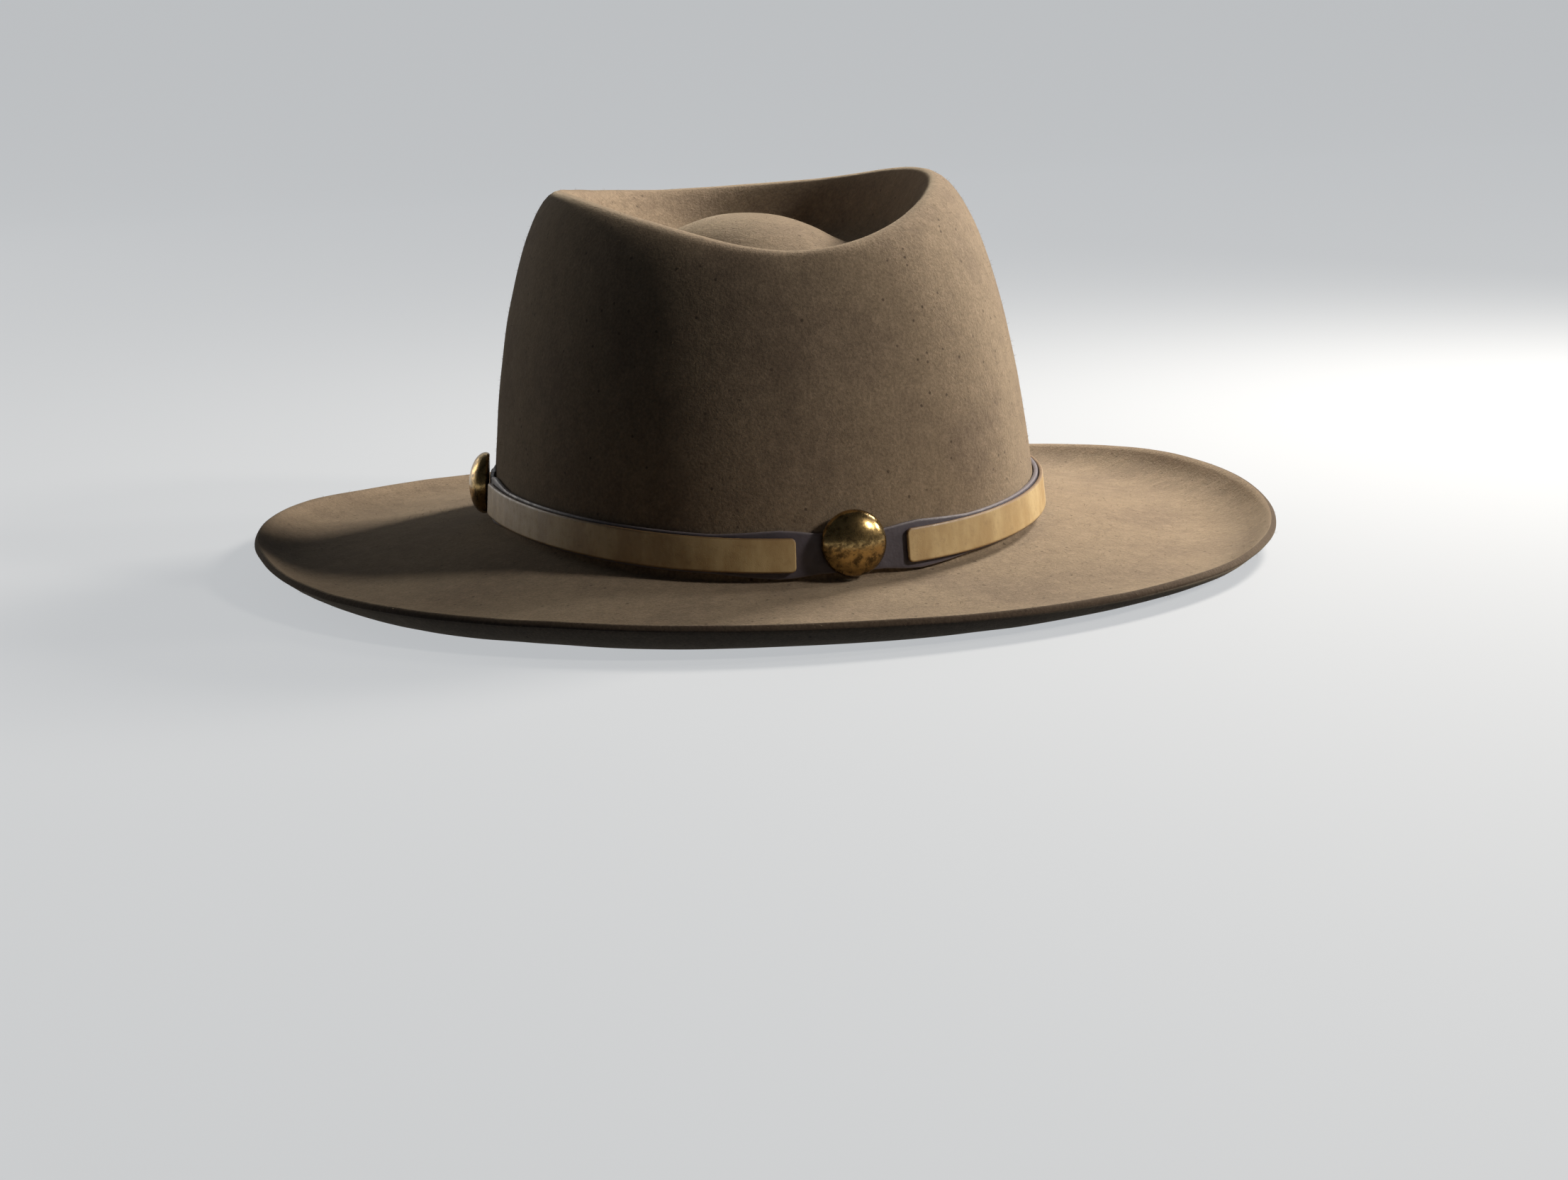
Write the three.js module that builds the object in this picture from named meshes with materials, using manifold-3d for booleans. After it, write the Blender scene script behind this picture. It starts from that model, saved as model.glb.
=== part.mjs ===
// Felt fedora hat with a teardrop crown, a curled raw-edged brim and a studded leather band.
// Millimetres, +Z up. The front of the hat faces -Y, left and right are the wearer's, so the
// left side is +X. The hat rests on its brim on z = 0, with its origin under the middle of it.
import * as THREE from 'three';
import { mergeVertices } from 'three/addons/utils/BufferGeometryUtils.js';
import Module from 'manifold-3d';

// Driving dimensions of the felt
const FELT_WALL = 2.2;
const FOOT_LENGTH = 197.4; // crown where it meets the brim, outside, front to back
const FOOT_WIDTH = 169.4;
const FOOT_SQUARENESS = 2.18; // 2 is an ellipse, more is fuller at the corners
const FOOT_SIDE_RISE = 5.6; // the line between crown and brim is higher at the sides
const RIM_LENGTH = 167.4; // highest line of the crown, round the dent
const RIM_WIDTH = 113.8;
const RIM_SQUARENESS = 1.97;
const RIM_NARROWING = 0.05; // the rim is egg-shaped, with its narrow end at the front
const RIM_SETBACK = 4.3; // centre of the rim behind the centre of the foot
const CROWN_HEIGHT = 104.2; // mean height of the rim above the foot
const RIM_WAVE = 11; // how much the rim rises at the sides over front and back
const CROWN_ROUNDNESS = 2.07; // exponent of the side wall's curve
const CROWN_LEAN = 0.24; // share of the side wall's taper that is a straight slope
const DENT_FLOOR = 18; // depth of the dent's channel below the mean rim
const DOME_HEIGHT = 13; // the low dome inside the dent, above the channel
const DOME_SETBACK = 8; // centre of the dome behind the centre of the foot
const BRIM_LENGTH = 346.4; // cut edge to cut edge, front to back
const BRIM_WIDTH = 319.4;
const BRIM_SQUARENESS = 2.06;
const BRIM_SETBACK = 2.7; // centre of the brim's outline behind the centre of the foot
const EDGE_HEIGHT = 1.4; // mean height of the cut edge above the foot
const EDGE_WAVE = 5; // size of the slow waves along the cut edge
const BRIM_DIP = 6; // how far the brim sags between the foot and the cut edge
const BREAK_DROP = 0.9; // the brim leaves the crown through a small step down
const PRESSED = 0.5; // felt pressed flat where the hat rests on its brim

// Driving dimensions of the band
const GAP = 0.3; // clearance between neighbouring pieces
const STRAP_WIDTH = 12.2; // dark leather, mean width
const STRAP_THICKNESS = 1.4;
const FOOT_CLEARANCE = 0.4; // strap and studs end this far above the crown's foot
const STRIP_WIDTH = 10.2; // tan leather
const STRIP_THICKNESS = 1.2;
const STUD_OPENING = 34; // bare strap between two strips, at each stud
const STUD_SPACING = 178; // along the strap, from the front stud to each side stud
const STUD_DIAMETER = 19.8;
const STUD_HEIGHT = 6.4;
const STUD_RIM = 1.1; // height of the stud's widest line above its back
const STUD_BACK = 0.94; // its flat back, as a share of its diameter
const POST_DIAMETER = 3.4;
const POST_CLEARANCE = 0.35; // all round the post, in the strap's hole

// Fineness of the facets
const FELT_STEPS = 64;
const STRAP_STEPS = 96;
const STRIP_STEP = 8;
const STUD_SIDES = 24;
const DOME_ROWS = 5;
const POST_SIDES = 16;

// Slow waves round the hat, as shares of the named size that they follow. turns is how many
// waves go round, cos is their share at the front, sin their share at the left side.
const RIM_WAVES = [
  { turns: 1, cos: -0.29, sin: 0.13 },
  { turns: 2, cos: -0.5, sin: 0.1 },
  { turns: 3, cos: -0.09, sin: 0 },
];
const EDGE_WAVES = [
  { turns: 1, cos: 0.38, sin: 0 },
  { turns: 2, cos: -0.58, sin: 0 },
  { turns: 3, cos: 0.25, sin: -0.23 },
  { turns: 4, cos: 0.08, sin: 0 },
  { turns: 5, cos: -0.1, sin: 0 },
];
const DIP_WAVES = [
  { turns: 1, cos: 0.32, sin: 0 },
  { turns: 2, cos: -0.3, sin: 0 },
  { turns: 3, cos: 0, sin: -0.14 },
];

// Sections of the dent, from the dome's top to the rim. out is the share of the way to the
// rim, dome the share of the dome's height, wall the share of the climb to the rim.
const DENT_SECTIONS = [
  { out: 0.0, dome: 1.0, wall: 0 },
  { out: 0.2, dome: 0.91, wall: 0 },
  { out: 0.37, dome: 0.64, wall: 0 },
  { out: 0.53, dome: 0.26, wall: 0 },
  { out: 0.68, dome: 0.02, wall: 0.02 },
  { out: 0.8, dome: 0, wall: 0.2 },
  { out: 0.89, dome: 0, wall: 0.58 },
  { out: 0.95, dome: 0, wall: 0.86 },
  { out: 1.0, dome: 0, wall: 1 },
];
// Sections of the crown's side wall, as shares of its height, from the rim down
const CROWN_SECTIONS = [0.985, 0.95, 0.88, 0.78, 0.64, 0.46, 0.28, 0.12, 0.04, 0.0];
// Sections of the brim. out is the share of its breadth, lip the share of the edge's height,
// dip the share of the sag, settle the share of the step at the crown.
const BRIM_SECTIONS = [
  { out: 0.015, lip: 0, dip: 0, settle: 0.5 },
  { out: 0.045, lip: 0, dip: 0, settle: 1 },
  { out: 0.12, lip: 0.08, dip: 0.12, settle: 1 },
  { out: 0.28, lip: 0.25, dip: 0.44, settle: 0.42 },
  { out: 0.46, lip: 0.44, dip: 0.76, settle: 0.1 },
  { out: 0.62, lip: 0.61, dip: 0.97, settle: 0.04 },
  { out: 0.7, lip: 0.7, dip: 1.0, settle: 0 },
  { out: 0.78, lip: 0.78, dip: 0.99, settle: 0 },
  { out: 0.86, lip: 0.86, dip: 0.83, settle: 0 },
  { out: 0.93, lip: 0.93, dip: 0.53, settle: 0 },
  { out: 1.0, lip: 1, dip: 0, settle: 0 },
];
// Width of the strap by distance from a stud, both as shares: of half the bare stretch, and of
// the strap's width
const STRAP_SECTIONS = [
  { away: 0, width: 0.95 },
  { away: 0.6, width: 0.98 },
  { away: 1.0, width: 1.13 },
  { away: 1.3, width: 1.18 },
  { away: 1.8, width: 1.08 },
  { away: 2.4, width: 0.95 },
];
// Width of a strip by distance from its end, both as shares of its width: rounded corners
const STRIP_END_SECTIONS = [
  { away: 0, width: 0.78 },
  { away: 0.05, width: 0.92 },
  { away: 0.12, width: 0.99 },
  { away: 0.2, width: 1 },
];

// A point of an egg-shaped oval in plan. angle is 0 at the front and grows towards the left.
function oval(angle, length, width, squareness, narrowing, setback) {
  const s = Math.sin(angle);
  const c = Math.cos(angle);
  const power = 2 / squareness;
  const x = (width / 2) * Math.sign(s) * Math.abs(s) ** power * (1 - narrowing * c);
  const y = setback - (length / 2) * Math.sign(c) * Math.abs(c) ** power;
  return new THREE.Vector3(x, y, 0);
}

function waves(table, angle) {
  let sum = 0;
  for (const { turns, cos, sin } of table) {
    sum += cos * Math.cos(turns * angle) + sin * Math.sin(turns * angle);
  }
  return sum;
}

// The column's value at x, on straight lines between the rows
function readTable(table, key, column, x) {
  if (x <= table[0][key]) return table[0][column];
  for (let i = 1; i < table.length; i += 1) {
    const a = table[i - 1];
    const b = table[i];
    if (x <= b[key]) return a[column] + ((b[column] - a[column]) * (x - a[key])) / (b[key] - a[key]);
  }
  return table[table.length - 1][column];
}

// The three lines round the hat that everything follows: foot, rim and cut edge
function footLine(angle) {
  const point = oval(angle, FOOT_LENGTH, FOOT_WIDTH, FOOT_SQUARENESS, 0, 0);
  point.z = FOOT_SIDE_RISE * Math.sin(angle) ** 2;
  return point;
}

function rimLine(angle) {
  const point = oval(angle, RIM_LENGTH, RIM_WIDTH, RIM_SQUARENESS, RIM_NARROWING, RIM_SETBACK);
  point.z = CROWN_HEIGHT + RIM_WAVE * waves(RIM_WAVES, angle);
  return point;
}

function edgeLine(angle) {
  const point = oval(angle, BRIM_LENGTH, BRIM_WIDTH, BRIM_SQUARENESS, 0, BRIM_SETBACK);
  point.z = EDGE_HEIGHT + EDGE_WAVE * waves(EDGE_WAVES, angle);
  return point;
}

// The crown's side wall at a share of its height
function crownWall(angle, share) {
  const foot = footLine(angle);
  const rim = rimLine(angle);
  const round = (1 - share ** CROWN_ROUNDNESS) ** (1 / CROWN_ROUNDNESS);
  const spread = (1 - CROWN_LEAN) * round + CROWN_LEAN * (1 - share);
  const point = rim.clone().lerp(foot, spread);
  point.z = foot.z + (rim.z - foot.z) * share;
  return point;
}

// One radial section of the felt's upper skin, from the dome's top to the cut edge
function feltSection(angle) {
  const foot = footLine(angle);
  const rim = rimLine(angle);
  const edge = edgeLine(angle);
  const sag = BRIM_DIP * (1 + waves(DIP_WAVES, angle));
  const floor = CROWN_HEIGHT - DENT_FLOOR;
  const centre = new THREE.Vector3(0, DOME_SETBACK, 0);
  const points = [];
  for (const { out, dome, wall } of DENT_SECTIONS) {
    const point = centre.clone().lerp(rim, out);
    point.z = floor + DOME_HEIGHT * dome + (rim.z - floor) * wall;
    points.push(point);
  }
  for (const share of CROWN_SECTIONS) points.push(crownWall(angle, share));
  for (const { out, lip, dip, settle } of BRIM_SECTIONS) {
    const point = foot.clone().lerp(edge, out);
    point.z = foot.z * (1 - lip) + edge.z * lip - sag * dip - BREAK_DROP * settle;
    points.push(point);
  }
  return points;
}

// The felt's skins as grids of points: rings from the dome's top outwards, sections round it.
// The lowest places of the lower skin are pressed flat, where the hat rests.
function feltSkins() {
  const sections = [];
  for (let j = 0; j < FELT_STEPS; j += 1) sections.push(feltSection((2 * Math.PI * j) / FELT_STEPS));
  const rings = sections[0].length;
  const upper = [];
  const lower = [];
  for (let i = 0; i < rings; i += 1) {
    const upperRing = [];
    const lowerRing = [];
    for (let j = 0; j < FELT_STEPS; j += 1) {
      const here = sections[j][i];
      const next = sections[(j + 1) % FELT_STEPS][i];
      const last = sections[(j + FELT_STEPS - 1) % FELT_STEPS][i];
      const outer = sections[j][Math.min(i + 1, rings - 1)];
      const inner = sections[j][Math.max(i - 1, 0)];
      const normal = new THREE.Vector3(0, 0, 1);
      if (i > 0) {
        normal.crossVectors(outer.clone().sub(inner), next.clone().sub(last)).normalize();
      }
      upperRing.push(here);
      lowerRing.push(here.clone().addScaledVector(normal, -FELT_WALL));
    }
    upper.push(upperRing);
    lower.push(lowerRing);
  }
  const heights = lower.flat().map((point) => point.z);
  const ground = Math.min(...heights) + PRESSED;
  for (const point of lower.flat()) point.z = Math.max(point.z, ground);
  return { upper, lower, ground };
}

function geometryOf(points, triangles) {
  const geometry = new THREE.BufferGeometry();
  const positions = points.flatMap((point) => [point.x, point.y, point.z]);
  geometry.setAttribute('position', new THREE.Float32BufferAttribute(positions, 3));
  geometry.setIndex(triangles);
  geometry.computeVertexNormals();
  return geometry;
}

// Crown and brim as one closed piece of felt
function feltBody(skins) {
  const points = [];
  const triangles = [];
  const number = (grid) => grid.map((ring, i) => {
    const used = i > 0 ? ring : ring.slice(0, 1);
    const first = points.length;
    points.push(...used);
    return ring.map((point, j) => first + Math.min(j, used.length - 1));
  });
  const upper = number(skins.upper);
  const lower = number(skins.lower);
  const quad = (a, b, c, d) => {
    if (a !== b) triangles.push(a, c, b);
    if (c !== d) triangles.push(b, c, d);
  };
  const last = upper.length - 1;
  for (let j = 0; j < FELT_STEPS; j += 1) {
    const k = (j + 1) % FELT_STEPS;
    for (let i = 0; i < last; i += 1) {
      quad(upper[i][j], upper[i][k], upper[i + 1][j], upper[i + 1][k]);
      quad(lower[i][k], lower[i][j], lower[i + 1][k], lower[i + 1][j]);
    }
    quad(upper[last][j], upper[last][k], lower[last][j], lower[last][k]);
  }
  return geometryOf(points, triangles);
}

// Heights above the foot: the middle of strap and strips, and the centre of each stud
const strapShares = STRAP_SECTIONS.map(({ width }) => width);
const bandMiddle = FOOT_CLEARANCE + (STRAP_WIDTH * Math.max(...strapShares)) / 2;
const studMiddle = FOOT_CLEARANCE + STUD_DIAMETER / 2;

// Place and directions on the crown's wall, at a height above the foot
function onWall(angle, rise) {
  const at = (turn, height) => {
    const foot = footLine(turn);
    return crownWall(turn, height / (rimLine(turn).z - foot.z));
  };
  const small = 0.01;
  const point = at(angle, rise);
  const along = at(angle + small, rise).sub(at(angle - small, rise)).normalize();
  const up = at(angle, rise + 1).sub(at(angle, rise)).normalize();
  const normal = new THREE.Vector3().crossVectors(along, up).normalize();
  return { point, along, up, normal };
}

// Distance along the strap for each angle, from the front towards the left
const LINE_STEPS = 720;
const strapLine = (() => {
  const lengths = [0];
  let before = null;
  for (let i = 0; i <= LINE_STEPS; i += 1) {
    const { point, normal } = onWall((2 * Math.PI * i) / LINE_STEPS, bandMiddle);
    const here = point.addScaledVector(normal, GAP + STRAP_THICKNESS);
    if (before) lengths.push(lengths[i - 1] + here.distanceTo(before));
    before = here;
  }
  return lengths;
})();
const strapLength = strapLine[LINE_STEPS];

function angleAt(distance) {
  const whole = ((distance % strapLength) + strapLength) % strapLength;
  let i = 1;
  while (strapLine[i] < whole) i += 1;
  const part = (whole - strapLine[i - 1]) / (strapLine[i] - strapLine[i - 1]);
  return (2 * Math.PI * (i - 1 + part)) / LINE_STEPS;
}

const STUD_PLACES = {
  stud_front: 0,
  stud_left: STUD_SPACING,
  stud_right: strapLength - STUD_SPACING,
};

function distanceToStud(distance) {
  const gaps = Object.values(STUD_PLACES).map((place) => {
    const gap = Math.abs(distance - place) % strapLength;
    return Math.min(gap, strapLength - gap);
  });
  return Math.min(...gaps);
}

// A flat strip of leather along the crown's wall. Each row gives the distance along the strap
// and the strip's width there, and the strip is closed to a loop or ends in two flat ends.
function leatherStrip(rows, away, thickness, closed) {
  const points = [];
  const triangles = [];
  for (const { distance, width } of rows) {
    const angle = angleAt(distance);
    const low = onWall(angle, bandMiddle - width / 2);
    const high = onWall(angle, bandMiddle + width / 2);
    for (const { point, normal } of [low, high]) {
      points.push(point.clone().addScaledVector(normal, away));
      points.push(point.clone().addScaledVector(normal, away + thickness));
    }
  }
  // corner numbers in a row: 0 low inner, 1 low outer, 2 high inner, 3 high outer
  const sides = [[0, 1], [1, 3], [3, 2], [2, 0]];
  const count = closed ? rows.length : rows.length - 1;
  for (let i = 0; i < count; i += 1) {
    const a = 4 * i;
    const b = 4 * ((i + 1) % rows.length);
    for (const [p, q] of sides) triangles.push(a + p, b + p, b + q, a + p, b + q, a + q);
  }
  if (!closed) {
    const e = 4 * (rows.length - 1);
    triangles.push(0, 1, 3, 0, 3, 2);
    triangles.push(e, e + 3, e + 1, e, e + 2, e + 3);
  }
  return geometryOf(points, triangles);
}

// Place of a stud's post: through the middle of the strap, straight out of the wall, with the
// origin where the stud's back lies against the strap
function studFrame(distance) {
  const { point, along, normal } = onWall(angleAt(distance), bandMiddle);
  const up = new THREE.Vector3().crossVectors(normal, along).normalize();
  const origin = point.clone().addScaledVector(normal, GAP + STRAP_THICKNESS + GAP);
  return new THREE.Matrix4().makeBasis(along, up, normal).setPosition(origin);
}

// Boolean cuts
const wasm = await Module();
wasm.setup();

function solidOf(geometry) {
  const bare = geometry.clone();
  bare.deleteAttribute('normal');
  bare.deleteAttribute('uv');
  const merged = mergeVertices(bare);
  const vertProperties = new Float32Array(merged.attributes.position.array);
  const triVerts = new Uint32Array(merged.index.array);
  return new wasm.Manifold(new wasm.Mesh({ numProp: 3, vertProperties, triVerts }));
}

function geometryFrom(solid) {
  const mesh = solid.getMesh();
  const geometry = new THREE.BufferGeometry();
  const positions = new THREE.Float32BufferAttribute(mesh.vertProperties, 3);
  geometry.setAttribute('position', positions);
  geometry.setIndex(new THREE.Uint32BufferAttribute(mesh.triVerts, 1));
  geometry.computeVertexNormals();
  return geometry;
}

// A domed stud with its back on z = 0, and its post along -Z from the origin. The stud sits
// higher than the post, because its lower edge ends just above the brim.
function studBody() {
  const radius = STUD_DIAMETER / 2;
  const profile = [new THREE.Vector2(0, 0), new THREE.Vector2(radius * STUD_BACK, 0)];
  for (let i = 0; i < DOME_ROWS; i += 1) {
    const turn = (Math.PI / 2) * (i / DOME_ROWS);
    const height = STUD_RIM + (STUD_HEIGHT - STUD_RIM) * Math.sin(turn);
    profile.push(new THREE.Vector2(radius * Math.cos(turn), height));
  }
  profile.push(new THREE.Vector2(0, STUD_HEIGHT));
  const dome = new THREE.LatheGeometry(profile, STUD_SIDES);
  dome.rotateX(Math.PI / 2).translate(0, studMiddle - bandMiddle, 0);
  const inside = STRAP_THICKNESS + GAP;
  const length = inside + STUD_RIM;
  const post = new THREE.CylinderGeometry(POST_DIAMETER / 2, POST_DIAMETER / 2, length, POST_SIDES);
  post.rotateX(Math.PI / 2).translate(0, 0, length / 2 - inside);
  return geometryFrom(solidOf(dome).add(solidOf(post)));
}

// The dark strap: a closed loop round the crown, with a hole for each stud's post
function strapBody() {
  const rows = [];
  for (let i = 0; i < STRAP_STEPS; i += 1) {
    const distance = (strapLength * i) / STRAP_STEPS;
    const away = distanceToStud(distance) / (STUD_OPENING / 2);
    rows.push({ distance, width: STRAP_WIDTH * readTable(STRAP_SECTIONS, 'away', 'width', away) });
  }
  let solid = solidOf(leatherStrip(rows, GAP, STRAP_THICKNESS, true));
  const depth = 4 * STRAP_THICKNESS;
  const radius = POST_DIAMETER / 2 + POST_CLEARANCE;
  for (const place of Object.values(STUD_PLACES)) {
    const hole = new THREE.CylinderGeometry(radius, radius, depth, POST_SIDES);
    hole.rotateX(Math.PI / 2).applyMatrix4(studFrame(place));
    solid = solid.subtract(solidOf(hole));
  }
  return geometryFrom(solid);
}

// A tan strip between two studs
function stripBody(from, to) {
  const start = from + STUD_OPENING / 2;
  const end = to - STUD_OPENING / 2;
  const ends = STRIP_END_SECTIONS.map(({ away }) => away * STRIP_WIDTH);
  const inset = ends[ends.length - 1];
  const count = Math.ceil((end - start - 2 * inset) / STRIP_STEP);
  const places = ends.map((away) => start + away);
  for (let i = 1; i < count; i += 1) {
    places.push(start + inset + ((end - start - 2 * inset) * i) / count);
  }
  places.push(...ends.map((away) => end - away).reverse());
  const rows = places.map((distance) => {
    const away = Math.min(distance - start, end - distance) / STRIP_WIDTH;
    const share = readTable(STRIP_END_SECTIONS, 'away', 'width', away);
    return { distance, width: STRIP_WIDTH * share };
  });
  return leatherStrip(rows, GAP + STRAP_THICKNESS + GAP, STRIP_THICKNESS, false);
}

const feltFinish = { color: 0x7a6750, roughness: 0.95, metalness: 0 };
const darkLeather = { color: 0x2c2829, roughness: 0.6, metalness: 0 };
const tanLeather = { color: 0xc79a5e, roughness: 0.55, metalness: 0 };
const agedBrass = { color: 0x9a7638, roughness: 0.35, metalness: 0.9 };

function addPiece(group, name, geometry, finish) {
  const mesh = new THREE.Mesh(geometry, new THREE.MeshStandardMaterial(finish));
  mesh.name = name;
  group.add(mesh);
  return mesh;
}

const hat = new THREE.Group();
const skins = feltSkins();
addPiece(hat, 'felt_body', feltBody(skins), feltFinish);
addPiece(hat, 'base_strap', strapBody(), darkLeather);

const { stud_front: front, stud_left: left, stud_right: right } = STUD_PLACES;
addPiece(hat, 'strip_front_left', stripBody(front, left), tanLeather);
addPiece(hat, 'strip_back', stripBody(left, right), tanLeather);
addPiece(hat, 'strip_front_right', stripBody(right, strapLength), tanLeather);

for (const [name, place] of Object.entries(STUD_PLACES)) {
  const stud = addPiece(hat, name, studBody(), agedBrass);
  stud.applyMatrix4(studFrame(place));
}

// The pieces are made about the crown's foot. The hat stands with the middle of its outline
// over the origin and its pressed felt on z = 0.
const outline = new THREE.Box3().setFromPoints([...skins.upper.flat(), ...skins.lower.flat()]);
const middle = outline.getCenter(new THREE.Vector3());
hat.position.set(-middle.x, -middle.y, -skins.ground);

export default hat;
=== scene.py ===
# %% [markdown]
# # A felt fedora with a studded leather band
# The hat is one piece of brown fur felt, blocked over a form: a tall crown with a teardrop dent in
# its top, and a wide brim that sags and curls up to a raw cut edge. A dark strap goes round the
# foot of the crown, with tan strips and three domed brass studs on it.
#
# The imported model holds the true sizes. This lesson loads it, and makes each soft or polished
# piece again with a finer surface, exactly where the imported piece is.

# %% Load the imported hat
import math

import bmesh
import bpy
import numpy as np
from mathutils import Matrix, Vector, noise


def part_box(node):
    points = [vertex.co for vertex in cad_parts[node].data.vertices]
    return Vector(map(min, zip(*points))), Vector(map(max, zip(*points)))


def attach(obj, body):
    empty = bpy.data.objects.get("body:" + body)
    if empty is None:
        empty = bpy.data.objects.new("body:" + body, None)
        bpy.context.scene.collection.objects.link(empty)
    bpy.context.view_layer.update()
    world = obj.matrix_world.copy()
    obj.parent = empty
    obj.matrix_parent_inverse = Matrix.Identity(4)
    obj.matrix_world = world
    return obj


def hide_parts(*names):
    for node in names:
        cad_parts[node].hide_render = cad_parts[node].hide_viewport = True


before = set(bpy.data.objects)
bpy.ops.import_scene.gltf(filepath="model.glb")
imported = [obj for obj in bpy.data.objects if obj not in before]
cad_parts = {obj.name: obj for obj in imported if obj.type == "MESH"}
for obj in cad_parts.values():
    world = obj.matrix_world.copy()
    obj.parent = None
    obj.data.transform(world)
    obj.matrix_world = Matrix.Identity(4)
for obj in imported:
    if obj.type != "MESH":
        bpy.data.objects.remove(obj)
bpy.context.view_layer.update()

MM = 0.001  # the hat's sizes are in millimetres, Blender's in metres
scene = bpy.context.scene
print("packed pieces:", sorted(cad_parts))

# %% [markdown]
# ## The camera
# The hat was photographed from a little above, with its front turned to the right. A camera
# is a place, a direction and a lens. The place follows from a known point of the hat, the pixel
# where it shows and its distance, so the lens stays in the middle and needs no shift.

# %% Camera at the photograph's angle
PHOTO_WIDTH = 2212
PHOTO_HEIGHT = 1665
VIEW_AZIMUTH = math.radians(-15.4)
VIEW_ELEVATION = math.radians(11.2)
VIEW_ROLL = math.radians(-2.1)
VIEW_DISTANCE = 1010.9  # from the camera's plane to the middle of the band
FOCAL_WIDTHS = 2.0  # focal length, in widths of the picture
BAND_PIXEL = (1075.5, 727.8)  # where the middle of the band shows in the photograph
BAND_RISE = 2.6  # that middle above the foot of the crown
SENSOR = 36.0


def place_camera(target):
    """Makes the camera, so that the target in mm lands on its pixel of the photograph."""
    sin_a, cos_a = math.sin(VIEW_AZIMUTH), math.cos(VIEW_AZIMUTH)
    sin_e, cos_e = math.sin(VIEW_ELEVATION), math.cos(VIEW_ELEVATION)
    back = Vector((sin_a * cos_e, -cos_a * cos_e, sin_e))
    level = Vector((cos_a, sin_a, 0))
    rise = back.cross(level)
    right = math.cos(VIEW_ROLL) * level + math.sin(VIEW_ROLL) * rise
    up = math.cos(VIEW_ROLL) * rise - math.sin(VIEW_ROLL) * level
    per_pixel = VIEW_DISTANCE / (FOCAL_WIDTHS * PHOTO_WIDTH)
    aside = (BAND_PIXEL[0] - PHOTO_WIDTH / 2) * per_pixel
    above = (PHOTO_HEIGHT / 2 - BAND_PIXEL[1]) * per_pixel
    place = Vector(target) + VIEW_DISTANCE * back - aside * right - above * up
    data = bpy.data.cameras.new("camera")
    data.sensor_fit = "HORIZONTAL"
    data.sensor_width = SENSOR
    data.lens = FOCAL_WIDTHS * SENSOR
    camera = bpy.data.objects.new("camera", data)
    turn = Matrix((right, up, back)).transposed().to_4x4()
    camera.matrix_world = Matrix.Translation(place * MM) @ turn
    scene.collection.objects.link(camera)
    scene.camera = camera
    print("camera at", [round(value, 3) for value in camera.matrix_world.translation])


# %% [markdown]
# ## The felt's shape
# Three lines round the hat rule its shape: the foot, where crown and brim meet, the rim, which is
# the highest line round the dent, and the cut edge of the brim. Each is an oval in plan with slow
# waves in its height. One radial section is worked out for each angle, through named stations
# from the middle of the dent to the cut edge.
#
# A subdivided cage would round the rim off and pull the brim's edge in. Smooth curves through the
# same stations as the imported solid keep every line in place, so the mesh is lofted from them.

# %% Sizes of the felt, in millimetres
FELT_WALL = 2.2
FOOT = dict(length=197.4, width=169.4, squareness=2.18)
FOOT_SIDE_RISE = 5.6
RIM = dict(length=167.4, width=113.8, squareness=1.97, narrowing=0.05, setback=4.3)
CROWN_HEIGHT = 104.2
RIM_WAVE = 11
CROWN_ROUNDNESS = 2.07
CROWN_LEAN = 0.24
DENT_FLOOR = 18
DOME_HEIGHT = 13
DOME_SETBACK = 8
EDGE = dict(length=346.4, width=319.4, squareness=2.06, setback=2.7)
EDGE_HEIGHT = 1.4
EDGE_WAVE = 5
BRIM_DIP = 6
BREAK_DROP = 0.9
PRESSED = 0.5
print("brim", EDGE["length"], "x", EDGE["width"], "mm, crown", CROWN_HEIGHT, "mm high")

# %% Tables of the waves and of the stations
# Slow waves round the hat: turns, share at the front, share at the wearer's left
RIM_WAVES = ((1, -0.29, 0.13), (2, -0.5, 0.1), (3, -0.09, 0))
EDGE_WAVES = ((1, 0.38, 0), (2, -0.58, 0), (3, 0.25, -0.23), (4, 0.08, 0), (5, -0.1, 0))
DIP_WAVES = ((1, 0.32, 0), (2, -0.3, 0), (3, 0, -0.14))

# Stations of the dent: share of the way to the rim, of the dome's height, of the climb to the rim
DENT_STATIONS = (
    (0, 1, 0), (0.2, 0.91, 0), (0.37, 0.64, 0), (0.53, 0.26, 0), (0.68, 0.02, 0.02),
    (0.8, 0, 0.2), (0.89, 0, 0.58), (0.95, 0, 0.86), (1, 0, 1),
)
# Stations of the crown's side: share of its height
CROWN_STATIONS = (0.985, 0.95, 0.88, 0.78, 0.64, 0.46, 0.28, 0.12, 0.04, 0)
# Stations of the brim: share of its breadth, of the edge's height, of the sag, of the step down
BRIM_STATIONS = (
    (0.015, 0, 0, 0.5), (0.045, 0, 0, 1), (0.12, 0.08, 0.12, 1), (0.28, 0.25, 0.44, 0.42),
    (0.46, 0.44, 0.76, 0.1), (0.62, 0.61, 0.97, 0.04), (0.7, 0.7, 1, 0), (0.78, 0.78, 0.99, 0),
    (0.86, 0.86, 0.83, 0), (0.93, 0.93, 0.53, 0), (1, 1, 0, 0),
)
print("stations in a section:", len(DENT_STATIONS) + len(CROWN_STATIONS) + len(BRIM_STATIONS))


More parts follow.
